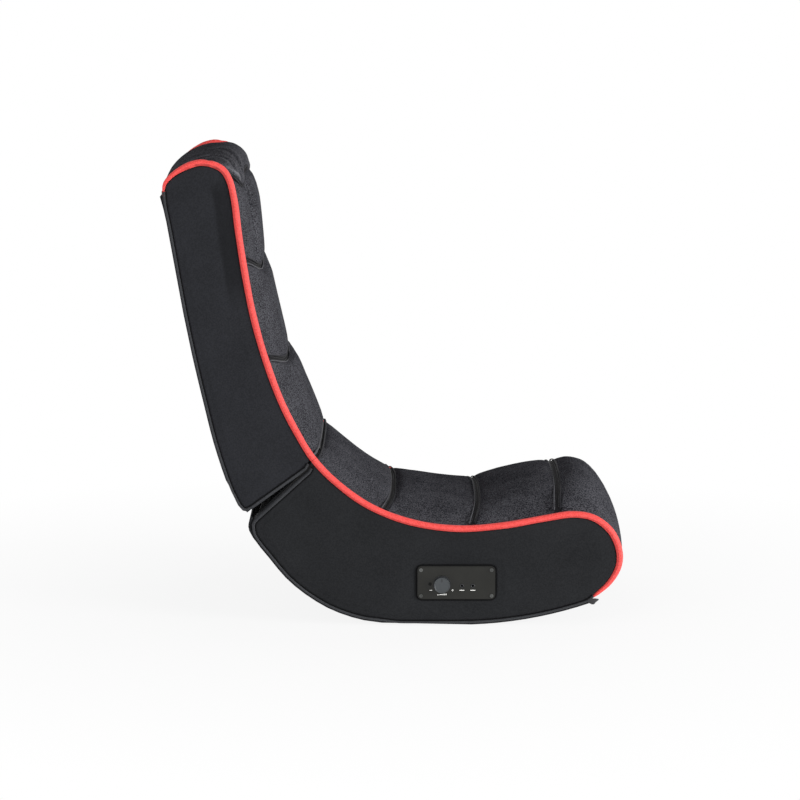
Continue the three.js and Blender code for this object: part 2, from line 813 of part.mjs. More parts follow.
function controlPanel() {
  const face = roundedRectangle(panelWidth, panelHeight, panelCorner);
  const edge = roundedRectangle(
    panelWidth - 2 * panelEdgeRound, panelHeight - 2 * panelEdgeRound, panelCorner - panelEdgeRound,
  );
  const hollow = roundedRectangle(
    panelWidth - 2 * panelWall, panelHeight - 2 * panelWall, panelCorner - panelWall,
  );
  const shell = join([
    panelBlock(edge, panelFace, boardOuter + fit),
    panelBlock(face, panelFace - panelEdgeRound, boardOuter + fit),
  ]);
  const holes = [
    panelBar(knobPlace, shaftRadius + fit, panelFace + overrun, boardOuter),
    panelBar(lampPlace, lampRadius + fit, panelFace + overrun, boardOuter),
    ...socketPlaces.map((place) => panelBar(place, socketRadius + fit, panelFace + overrun, boardOuter)),
    ...screwPlaces.map((place) => panelBar(place, screwShankRadius + fit, panelFace + overrun, boardOuter)),
  ];
  return cut(shell, [panelBlock(hollow, panelBack, boardOuter - overrun), ...holes]);
}

function amplifierBox() {
  const outer = roundedRectangle(amplifierWidth, amplifierHeight, amplifierCorner);
  const inner = roundedRectangle(
    amplifierWidth - 2 * amplifierWall, amplifierHeight - 2 * amplifierWall,
    amplifierCorner - amplifierWall,
  );
  return cut(panelBlock(outer, panelBack - fit, amplifierBack), [
    panelBlock(inner, panelBack + overrun, amplifierBack + amplifierWall),
  ]);
}

function circuitBoard() {
  const margin = 2 * (amplifierWall + circuitMargin);
  const corner = amplifierCorner - amplifierWall;
  const shape = roundedRectangle(amplifierWidth - margin, amplifierHeight - margin, corner);
  return panelBlock(shape, circuitOuter, circuitOuter - circuitThickness);
}

// Both sockets are one moulded block with two barrels
function audioSockets() {
  const blockWidth = socketPitch + 3 * socketRadius;
  const block = new THREE.Shape(
    roundedRectangle(blockWidth, socketBlockHeight, socketRadius / 2).getPoints(2),
  );
  const body = panelBlock(block, panelBack - fit, circuitOuter + fit)
    .translate(socketPlace[0], 0, socketPlace[1]);
  const inner = circuitOuter + 2 * fit;
  const barrels = socketPlaces.map((place) => panelBar(place, socketRadius, panelFace, inner));
  const bores = socketPlaces.map(
    (place) => panelBar(place, socketBore, panelFace + overrun, inner + socketBore),
  );
  return cut(join([body, ...barrels]), bores);
}

function potentiometerBody() {
  const bodyFront = panelBack - fit;
  return cut(panelBar(knobPlace, potentiometerRadius, bodyFront, circuitOuter + fit), [
    panelBar(knobPlace, shaftRadius + fit, bodyFront + overrun, bodyFront - shaftSeat),
  ]);
}

function potentiometerShaft() {
  const inner = panelBack - shaftSeat;
  const outer = panelFace + knobLift + shaftSeat;
  return panelBar(knobPlace, shaftRadius, outer, inner);
}

// The knob is turned from a blank, with a blind bore for the shaft and a pointer groove in its face
function volumeKnob() {
  const profile = [
    [0, 0], [knobRadius, 0], [knobRadius, knobHeight - knobChamfer],
    [knobRadius - knobChamfer, knobHeight], [0, knobHeight],
  ].map(([radius, height]) => new THREE.Vector2(radius, height));
  const blank = new THREE.LatheGeometry(profile, turnedSides);
  const boreRadius = shaftRadius + fit;
  const bore = new THREE.CylinderGeometry(boreRadius, boreRadius, 2 * (shaftSeat + fit), barSides);
  const groove = new THREE.BoxGeometry(driveSlotWidth, 2 * driveSlotDepth, knobRadius / 2)
    .translate(0, knobHeight, -knobRadius / 2);
  return cut(blank, [bore, groove])
    .rotateX(Math.PI)
    .translate(panelCentre.x + knobPlace[0], -panelFace - knobLift, panelCentre.y + knobPlace[1]);
}

function panelScrew(place) {
  const seat = panelFace + fit;
  const head = panelBar(place, screwHeadRadius, seat + screwHeadHeight, seat, smallBarSides);
  const neck = seat + screwHeadHeight / 2;
  const shank = panelBar(place, screwShankRadius, neck, seat - screwLength, smallBarSides);
  const face = -seat - screwHeadHeight;
  const slot = [0, Math.PI / 2].map((turn) => new THREE.BoxGeometry(
    screwHeadRadius, 2 * driveSlotDepth, driveSlotWidth,
  ).rotateY(turn).translate(panelCentre.x + place[0], face, panelCentre.y + place[1]));
  return cut(join([head, shank]), slot);
}

// Side boards and covers, with the openings behind the audio panel on the right

function amplifierRoom() {
  const opening = roundedRectangle(
    amplifierWidth + 2 * fit, amplifierHeight + 2 * fit, amplifierCorner + fit,
  );
  return panelBlock(opening, boardOuter + overrun, amplifierBack - fit);
}

function rightSeatBoard() {
  return cut(seatBoard(-boardOuter, -boardInner), [
    amplifierRoom(),
    ...screwPlaces.map((place) => panelBar(
      place, screwShankRadius + fit, boardOuter + overrun, panelFace - screwLength - fit, smallBarSides,
    )),
  ]);
}

function rightSeatCover() {
  const opening = roundedRectangle(panelWidth + 2 * fit, panelHeight + 2 * fit, panelCorner + fit);
  return cut(plate(sideEdge(seatSide, coverInset), -coverOuter, -coverInner), [
    panelBlock(opening, coverOuter + overrun, coverInner - overrun),
  ]);
}

// Hinges: a butt hinge with its leaves let into both mitred faces and three knuckles between the pads

const hingeAxis = foldPoint(-foldRise, 0);
const knuckleLength = hingeWidth / 3;

function knuckle(middle, length) {
  const low = middle - length / 2 + fit / 2;
  return barAcross(hingeAxis.x, hingeAxis.y, knuckleRadius, low, low + length - fit);
}

// The strip of a leaf that lies along a mitred face, between two depths
function leafStrip(face, side, from, to, low, high) {
  const outline = [
    foldPoint(from, face(from)), foldPoint(to, face(to)),
    foldPoint(to, face(to) + side * leafThickness), foldPoint(from, face(from) + side * leafThickness),
  ];
  return plate(outline, low, high);
}

function hingeLeaf(face, side, centre, knuckleMiddles, extra, bores) {
  const low = centre - hingeWidth / 2;
  const body = leafStrip(face, side, knuckleRadius - foldRise + fit, leafReach, low, low + hingeWidth);
  const tabs = knuckleMiddles.map((middle) => leafStrip(
    face, side, -foldRise, knuckleRadius,
    middle - knuckleLength / 2 + fit / 2, middle + knuckleLength / 2 - fit / 2,
  ));
  const barrels = knuckleMiddles.map((middle) => knuckle(middle, knuckleLength));
  return cut(join([body, ...tabs, ...barrels, ...extra]), bores);
}

// The seat leaf carries the outer knuckles and the pin, which is riveted in them
function seatLeaf(centre) {
  const middles = [centre - knuckleLength, centre + knuckleLength];
  const low = centre - hingeWidth / 2 + fit;
  const high = low + hingeWidth - 2 * fit;
  const pin = barAcross(hingeAxis.x, hingeAxis.y, hingePinRadius, low, high, smallBarSides);
  return hingeLeaf(seatFace, 1, centre, middles, [pin], []);
}

function backLeaf(centre) {
  const radius = hingePinRadius + 2 * fit;
  const [low, high] = [centre - hingeWidth, centre + hingeWidth];
  const bore = barAcross(hingeAxis.x, hingeAxis.y, radius, low, high, smallBarSides);
  return hingeLeaf(backFace, -1, centre, [centre], [], [bore]);
}

// The room that a hinge takes out of the pads and rails on one side of the fold
function hingeRoom(face, side, centre) {
  const clear = 2 * fit;
  const low = centre - hingeWidth / 2 - clear;
  const high = centre + hingeWidth / 2 + clear;
  const outline = [
    foldPoint(-foldRise - clear, -side * overrun), foldPoint(leafReach + clear, -side * overrun),
    foldPoint(leafReach + clear, face(leafReach) + side * (leafThickness + fit)),
    foldPoint(-foldRise - clear, face(-foldRise) + side * (leafThickness + fit)),
  ];
  const barrel = barAcross(hingeAxis.x, hingeAxis.y, knuckleRadius + clear, low, high);
  return join([plate(outline, low, high), barrel]);
}

// All that lies past a mitred face, over the whole width
function pastFace(face, side, clear) {
  const far = foldDepth + edgeReach;
  const outline = [
    foldPoint(-far, -side * edgeReach), foldPoint(far, -side * edgeReach),
    foldPoint(far, face(far) + side * clear), foldPoint(0, face(0) + side * clear),
    foldPoint(-far, face(0) + side * clear),
  ];
  return plate(outline, -halfWidth, halfWidth);
}

const hingeCentres = { right: hingeFromSide - halfWidth, left: halfWidth - hingeFromSide };

function roomsFor(face, side) {
  return Object.values(hingeCentres).map((centre) => hingeRoom(face, side, centre));
}

function fitAtFold(body, face, side) {
  return cut(body, [pastFace(face, side, fit), ...roomsFor(face, side)]);
}

const backDeck = deckPlan(backPadDepth, backDeckThickness);
const seatDeck = deckPlan(seatPadDepth, seatDeckThickness);

// A curved panel's outer and inner faces, as offsets from the corded edge
function deckPlan(padDepth, thickness) {
  const outer = -padDepth - fit;
  return { outer, inner: outer - thickness };
}

// Rails across the chair

// A rail lies along a mitred face, and the pads and the panel under them take off its front end
function foldRail(face, side, edge, deck) {
  const thick = side * railThickness;
  const near = foldPoint(-deck.outer, face(-deck.outer));
  const far = foldPoint(foldDepth, face(foldDepth));
  const nearInner = foldPoint(-deck.outer, face(-deck.outer) + thick);
  const farInner = foldPoint(foldDepth, face(foldDepth) + thick);
  const end = untilFace(edge, near, far);
  const innerEnd = untilFace(edge, nearInner, farInner);
  const outline = [near, end[end.length - 1], innerEnd[innerEnd.length - 1], nearInner];
  const reach = 2 * (railThickness - deck.inner);
  const underPads = band(
    rim, foldDistance - reach, foldDistance + reach, 0, deck.inner - fit, halfWidth,
  );
  return cut(plate(outline, -betweenBoards, betweenBoards), [underPads, ...roomsFor(face, side)]);
}

function foldCover(face, side, edge) {
  const outer = (depth) => face(depth) - side * fit;
  const inner = (depth) => outer(depth) - side * foldCoverThickness;
  const start = foldCoverStart;
  const near = [foldPoint(start, outer(start)), foldPoint(start, inner(start))];
  const outerEnd = untilFace(edge, near[0], foldPoint(foldDepth, outer(foldDepth)));
  const innerEnd = untilFace(edge, near[1], foldPoint(foldDepth, inner(foldDepth)));
  const outline = [near[0], outerEnd[outerEnd.length - 1], innerEnd[innerEnd.length - 1], near[1]];
  return plate(outline, -boardOuter, boardOuter);
}

// The bar under the top roll: curved above, flat below
function topRail() {
  const outline = rim.offset(
    -topRollDepth - fit, seamAt(topRailStartShare), seamAt(shoulderShare) - topRailStop,
  );
  return plate(outline, -betweenBoards, betweenBoards);
}

// The solid block behind the nose pad
function frontRail() {
  const from = seamAt(seatFrontSeamShare) + railThickness;
  const nose = rim.offset(-nosePadDepth - fit, from, rim.length);
  const lower = rocker.offset(boardLift + fit).filter(
    (point) => point.x > nose[0].x && point.x < nose[nose.length - 1].x,
  );
  return plate([...nose, ...lower.reverse()], -betweenBoards, betweenBoards);
}

function middleRail(share, line, face) {
  const middle = share * line.length;
  const half = middleRailWidth / 2;
  return band(line, middle - half, middle + half, face, face - middleRailDepth, betweenBoards);
}

// Speakers: one turned body each, its flange on the front of the head panel
const speakerDistance = speakerShare * rim.length;

function speakerTurned(profile, sideways) {
  const { point, normal } = rim.at(speakerDistance);
  const geometry = new THREE.LatheGeometry(
    profile.map(([radius, height]) => new THREE.Vector2(radius, height)), turnedSides,
  );
  const lean = Math.atan2(normal.x, normal.y);
  const seat = backDeck.outer + 2 * fit;
  return geometry.rotateX(Math.PI / 2).rotateY(lean)
    .translate(point.x + normal.x * seat, sideways, point.y + normal.y * seat);
}

function speaker(sideways) {
  const coneDepth = speakerDepth - magnetHeight;
  return speakerTurned([
    [0, -speakerDepth], [magnetRadius, -speakerDepth], [magnetRadius, -coneDepth],
    [speakerThroat, 0], [speakerRadius, 0], [speakerRadius, speakerFlange],
    [speakerThroat, speakerFlange], [magnetRadius / 2, speakerFlange - coneDepth * coneShare],
    [0, speakerFlange - coneDepth * dustCapShare],
  ], sideways);
}

function backPanel() {
  const board = band(
    rim, seamAt(shoulderShare) + 2 * roundOver, foldDistance - foldHalfGap - roundOver,
    backDeck.outer, backDeck.inner, betweenBoards,
  );
  const hole = [
    [0, -2 * railThickness], [speakerThroat + fit, -2 * railThickness],
    [speakerThroat + fit, railThickness], [0, railThickness],
  ];
  const holes = [-speakerSideways, speakerSideways].map((place) => speakerTurned(hole, place));
  return cut(fitAtFold(board, backFace, -1), holes);
}

function seatPanel() {
  const board = band(
    rim, foldDistance + foldHalfGap + roundOver, seamAt(seatFrontSeamShare),
    seatDeck.outer, seatDeck.inner, betweenBoards,
  );
  return cut(fitAtFold(board, seatFace, 1), [amplifierRoom()]);
}

// Model

const model = new THREE.Group();

function addTo(group, name, geometry, finish) {
  const mesh = new THREE.Mesh(geometry, new THREE.MeshStandardMaterial(finishes[finish]));
  mesh.name = name;
  group.add(mesh);
}

function backrest() {
  const group = new THREE.Group();
  const cover = sideEdge(backSide, coverInset);
  const binding = sideEdge(backSide, bindingRadius, backSide.bound);
  for (const [side, sign] of [['right', -1], ['left', 1]]) {
    const span = (inner, outer) => (sign < 0 ? [-outer, -inner] : [inner, outer]);
    addTo(group, `back_side_board_${side}`, backBoard(...span(boardInner, boardOuter)), 'plywood');
    addTo(group, `back_side_cover_${side}`, plate(cover, ...span(coverInner, coverOuter)), 'backFabric');
    addTo(group, `back_binding_${side}`, cord(
      binding, sign * bindingSideways, bindingRadius, bindingSides,
    ), 'binding');
    addTo(group, `back_piping_${side}`, cord(
      rim.offset(0, 0, foldDistance - fit), sign * pipingSideways, pipingRadius, pipingSides,
    ), 'piping');
    addTo(group, `speaker_${side}`, speaker(sign * speakerSideways), 'speaker');
    addTo(group, `hinge_back_leaf_${side}`, backLeaf(hingeCentres[side]), 'steel');
  }
  addTo(group, 'back_top_rail', topRail(), 'plywood');
  addTo(group, 'back_middle_rail', middleRail(lowerSeamShare, rim, backDeck.inner - fit), 'plywood');
  addTo(group, 'back_fold_rail', foldRail(backFace, -1, backRearEdge, backDeck), 'plywood');
  addTo(group, 'back_deck', backPanel(), 'fibreboard');
  const rearEnd = rear.length - rearStop;
  addTo(group, 'back_rear_panel', band(
    rear, 0, rearEnd, rearCoverThickness + fit, boardInset - fit, boardOuter,
  ), 'fibreboard');
  addTo(group, 'back_rear_cover', band(
    rear, 0, rearEnd, 0, rearCoverThickness, betweenBindings,
  ), 'backFabric');
  addTo(group, 'back_fold_cover', foldCover(backFace, -1, backRearEdge), 'backFabric');
  return group;
}

function seat() {
  const group = new THREE.Group();
  const cover = sideEdge(seatSide, coverInset);
  const binding = sideEdge(seatSide, bindingRadius, seatSide.bound);
  for (const [side, sign] of [['right', -1], ['left', 1]]) {
    addTo(group, `seat_binding_${side}`, cord(
      binding, sign * bindingSideways, bindingRadius, bindingSides,
    ), 'binding');
    addTo(group, `seat_piping_${side}`, cord(
      rim.offset(0, foldDistance + fit, rim.length), sign * pipingSideways, pipingRadius, pipingSides,
    ), 'piping');
    addTo(group, `hinge_seat_leaf_${side}`, seatLeaf(hingeCentres[side]), 'steel');
  }
  addTo(group, 'seat_side_board_right', rightSeatBoard(), 'plywood');
  addTo(group, 'seat_side_board_left', seatBoard(boardInner, boardOuter), 'plywood');
  addTo(group, 'seat_side_cover_right', rightSeatCover(), 'seatFabric');
  addTo(group, 'seat_side_cover_left', plate(cover, coverInner, coverOuter), 'seatFabric');
  addTo(group, 'seat_front_rail', frontRail(), 'plywood');
  const crossRail = middleRail(seatMiddleSeamShare, rim, seatDeck.inner - fit);
  addTo(group, 'seat_middle_rail', cut(crossRail, [amplifierRoom()]), 'plywood');
  addTo(group, 'seat_fold_rail', foldRail(seatFace, 1, seatRearEdge, seatDeck), 'plywood');
  addTo(group, 'seat_deck', seatPanel(), 'plywood');
  addTo(group, 'rocker_panel', band(
    rocker, 0, rocker.length, soleThickness + fit, boardLift - fit, boardOuter,
  ), 'fibreboard');
  addTo(group, 'rocker_sole', band(rocker, 0, rocker.length, 0, soleThickness, betweenBindings), 'sole');
  addTo(group, 'seat_fold_cover', foldCover(seatFace, 1, seatRearEdge), 'seatFabric');
  return group;
}

function pads() {
  const group = new THREE.Group();
  for (const [name, plan] of Object.entries(padPlans)) {
    const body = padBody(plan);
    addTo(group, name, plan.atFold ? fitAtFold(body, ...plan.atFold) : body, plan.finish);
  }
  return group;
}

function audioPanel() {
  const group = new THREE.Group();
  addTo(group, 'control_panel', controlPanel(), 'panel');
  addTo(group, 'amplifier_box', amplifierBox(), 'housing');
  addTo(group, 'circuit_board', circuitBoard(), 'circuit');
  addTo(group, 'audio_sockets', audioSockets(), 'housing');
  addTo(group, 'potentiometer_body', potentiometerBody(), 'steel');
  addTo(group, 'potentiometer_shaft', potentiometerShaft(), 'steel');
  addTo(group, 'volume_knob', volumeKnob(), 'knob');
  addTo(group, 'power_lamp', panelBar(lampPlace, lampRadius, panelFace + fit, circuitOuter + fit), 'lamp');
  screwPlaces.forEach((place, i) => addTo(group, `panel_screw_${i + 1}`, panelScrew(place), 'steel'));
  return group;
}

model.add(backrest(), seat(), pads(), audioPanel());
export default model;
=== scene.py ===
"""Looks of a floor rocker chair with a folding back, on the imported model's fixed frame."""

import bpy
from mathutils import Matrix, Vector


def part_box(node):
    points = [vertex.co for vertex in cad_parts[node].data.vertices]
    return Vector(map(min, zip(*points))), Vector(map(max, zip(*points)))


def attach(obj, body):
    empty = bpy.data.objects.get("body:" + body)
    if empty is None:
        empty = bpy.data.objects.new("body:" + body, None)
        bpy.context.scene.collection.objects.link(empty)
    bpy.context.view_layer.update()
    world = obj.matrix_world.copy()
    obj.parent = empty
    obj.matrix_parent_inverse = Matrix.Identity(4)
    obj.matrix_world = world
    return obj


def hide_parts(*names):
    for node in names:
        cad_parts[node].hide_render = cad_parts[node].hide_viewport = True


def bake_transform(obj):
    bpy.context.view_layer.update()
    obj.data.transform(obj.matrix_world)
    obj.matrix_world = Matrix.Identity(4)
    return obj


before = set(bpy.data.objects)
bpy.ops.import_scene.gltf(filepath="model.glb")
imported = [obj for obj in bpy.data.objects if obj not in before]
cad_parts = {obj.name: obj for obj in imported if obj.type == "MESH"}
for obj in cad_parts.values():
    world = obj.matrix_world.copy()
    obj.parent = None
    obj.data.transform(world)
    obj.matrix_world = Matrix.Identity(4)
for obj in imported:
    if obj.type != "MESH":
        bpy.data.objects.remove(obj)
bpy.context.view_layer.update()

import logging
import math
from collections.abc import Callable, Iterable, Sequence
from dataclasses import dataclass
from enum import Enum

import bpy
import numpy as np
from mathutils import Vector

Piece = bpy.types.Object
Socket = bpy.types.NodeSocket

LOG = logging.getLogger("floor_rocker")
NODES: dict[str, Piece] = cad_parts

# Side profile of the corded edge, rear top of the head to the front end of the nose, as shares of
# the profile's length and height
RIM_SHARES = (
    (0.0053, 0.9059), (0.0095, 0.9269), (0.0244, 0.9437), (0.0488, 0.9583), (0.087, 0.9699),
    (0.1167, 0.9653), (0.1358, 0.9541), (0.1485, 0.9332), (0.1581, 0.8933), (0.1665, 0.8261),
    (0.1793, 0.7421), (0.1962, 0.6539), (0.2206, 0.5658), (0.2546, 0.4734), (0.2885, 0.4062),
    (0.3225, 0.3521), (0.3713, 0.3023), (0.4392, 0.254), (0.524, 0.2204), (0.6259, 0.2053),
    (0.7277, 0.212), (0.8126, 0.2267), (0.8762, 0.2355), (0.9187, 0.2278), (0.9547, 0.2005),
    (0.9728, 0.1627), (0.9738, 0.127), (0.9569, 0.0924), (0.9187, 0.0546),
)


class Body(Enum):
    """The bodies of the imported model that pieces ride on."""

    BACK = "backrest"
    SEAT = "seat_base"
    KNOB = "volume_knob_body"


@dataclass(frozen=True)
class ChairSizes:
    """Main sizes in metres, the same as the solids have."""

    length: float = 0.740
    height: float = 0.755
    half_width: float = 0.215
    piping_radius: float = 0.00525
    pad_edge: float = 0.2042
    pillow_half_width: float = 0.1
    fall_power: float = 2.6
    fall_root: float = 0.6
    groove_power: float = 0.75
    top_from: float = 0.004
    seam_pull: float = 0.019
    shoulder: float = 0.1166
    upper_seam: float = 0.2161
    lower_seam: float = 0.3438
    fold: float = 0.4852
    seat_rear_seam: float = 0.5973
    seat_middle_seam: float = 0.7136
    seat_front_seam: float = 0.8237
    fold_reach: float = 0.066
    bow_reach: float = 0.066
    lean_reach: float = 0.062
    bows: tuple[tuple[float, float, float], ...] = (
        (upper_seam, 0.032, 1.7), (lower_seam, 0.031, 1.7), (seat_rear_seam, 0.011, 3.2),
        (seat_middle_seam, 0.014, 3.2), (seat_front_seam, 0.009, 3.2),
    )
    lean: tuple[tuple[float, float], ...] = (
        (0.0, 0.001), (0.086, 0.002), (0.112, 0.015), (0.140, 0.013), (pad_edge, -0.012),
    )

    def across(self, y: np.ndarray) -> np.ndarray:
        """Gives a pad's height across the chair.

        Args:
            y: Distances from the middle plane.

        Returns:
            Shares of the height in the middle.
        """
        share = np.clip(np.abs(y) / self.pad_edge, 0, 1)
        return (1 - share**self.fall_power) ** self.fall_root


SIZES = ChairSizes()


def bell(distance: np.ndarray, width: float) -> np.ndarray:
    """Gives 1 at no distance and near 0 past twice the width."""
    return np.exp(-((distance / width) ** 2))


def ease(share: np.ndarray) -> np.ndarray:
    """Turns an even rise from 0 to 1 into one with soft ends."""
    return share * share * (3 - 2 * share)


def travel(points: np.ndarray) -> np.ndarray:
    """Gives the distance travelled at each point of a line."""
    return np.concatenate([[0], np.cumsum(np.linalg.norm(np.diff(points, axis=0), axis=1))])


def spaced(points: np.ndarray, places: np.ndarray) -> np.ndarray:
    """Gives the points of a line at given distances travelled."""
    distance = travel(points)
    return np.column_stack([np.interp(places, distance, points[:, i]) for i in (0, 1)])


def gaps(points: np.ndarray, line: np.ndarray) -> np.ndarray:
    """Gives the squared distance from each point to each point of a line, both in one plane."""
    return ((points[:, None, :] - line[None, :, :]) ** 2).sum(2)


class EdgeLine:
    """The corded edge as a line in the side plane, with distances along it and heights over it."""

    STEP = 0.0015

    def __init__(self, shares: Sequence[tuple[float, float]], sizes: ChairSizes) -> None:
        """Draws the line.

        Args:
            shares: Its knots as shares of length and height.
            sizes: The chair's sizes.
        """
        knots = np.array([((a - 0.5) * sizes.length, b * sizes.height) for a, b in shares])
        fine = self._smooth(knots)
        length = travel(fine)[-1]
        self.points = spaced(fine, np.linspace(0, length, int(length / self.STEP)))
        self.distances = travel(self.points)
        along = np.gradient(self.points, axis=0)
        along /= np.linalg.norm(along, axis=1)[:, None]
        self.normals = np.column_stack([-along[:, 1], along[:, 0]])

    @staticmethod
    def _smooth(knots: np.ndarray) -> np.ndarray:
        """Runs a centripetal curve through the knots.

        Args:
            knots: The places it passes.

        Returns:
            Many points along it.
        """
        ends = np.vstack([2 * knots[0] - knots[1], knots, 2 * knots[-1] - knots[-2]])
        drawn = [knots[:1]]
        steps = np.linspace(0, 1, 41)[1:, None]
        for a, b, c, d in zip(ends, ends[1:], ends[2:], ends[3:]):
            before, middle, after = (
                math.sqrt(np.linalg.norm(q - p)) for p, q in ((a, b), (b, c), (c, d))
            )
            leave = ((b - a) / before - (c - a) / (before + middle) + (c - b) / middle) * middle
            arrive = ((c - b) / middle - (d - b) / (middle + after) + (d - c) / after) * middle
            square, cube = (-3 * b + 3 * c - 2 * leave - arrive), (2 * b - 2 * c + leave + arrive)
            drawn.append(b + leave * steps + square * steps**2 + cube * steps**3)
        return np.vstack(drawn)

    @property
    def length(self) -> float:
        """Returns the whole length."""
        return float(self.distances[-1])

    def place(self, along: np.ndarray, y: np.ndarray, height: np.ndarray) -> np.ndarray:
        """Turns places on the line into points.

        Args:
            along: Distances along the line.
            y: Distances from the middle plane.
            height: Heights over the line.

        Returns:
            One row of three coordinates each.
        """
        x, z, nx, nz = (
            np.interp(along, self.distances, column)
            for column in (self.points[:, 0], self.points[:, 1], self.normals[:, 0], self.normals[:, 1])
        )
        size = np.hypot(nx, nz)
        return np.column_stack([x + nx / size * height, y, z + nz / size * height])

    def read(self, points: np.ndarray) -> tuple[np.ndarray, np.ndarray]:
        """Turns points into places on the line.

        Args:
            points: One row of three coordinates each.

        Returns:
            Distances along the line, and heights over it.
        """
        flat = points[:, [0, 2]]
        parts = np.array_split(flat, max(1, len(flat) // 2000))
        near = np.concatenate([np.argmin(gaps(part, self.points), axis=1) for part in parts])
        offset = flat - self.points[near]
        normal = self.normals[near]
        along = np.column_stack([normal[:, 1], -normal[:, 0]])
        return self.distances[near] + (offset * along).sum(1), (offset * normal).sum(1)

    def at(self, along: float, y: float = 0.0, height: float = 0.0) -> Vector:
        """Returns one point."""
        return Vector(self.place(np.array([along]), np.array([y]), np.array([height]))[0])


RIM = EdgeLine(RIM_SHARES, SIZES)


@dataclass(frozen=True)
class RestCorner:
    """The corner in the underside where the rocker's flat rest starts."""

    place: float = -0.0245
    width: float = 0.018
    raise_by: float = 0.0033
    top: float = 0.03
    fade: float = 0.015

    def soften(self, points: np.ndarray) -> np.ndarray:
        """Raises the underside a little at the corner, which rounds it.

        Args:
            points: One row of three coordinates each.

        Returns:
            The raised points.
        """
        low = np.clip((self.top - points[:, 2]) / self.fade, 0, 1)
        raised = points.copy()
        raised[:, 2] += self.raise_by * low * bell(points[:, 0] - self.place, self.width)
        return raised


REST_CORNER = RestCorner()


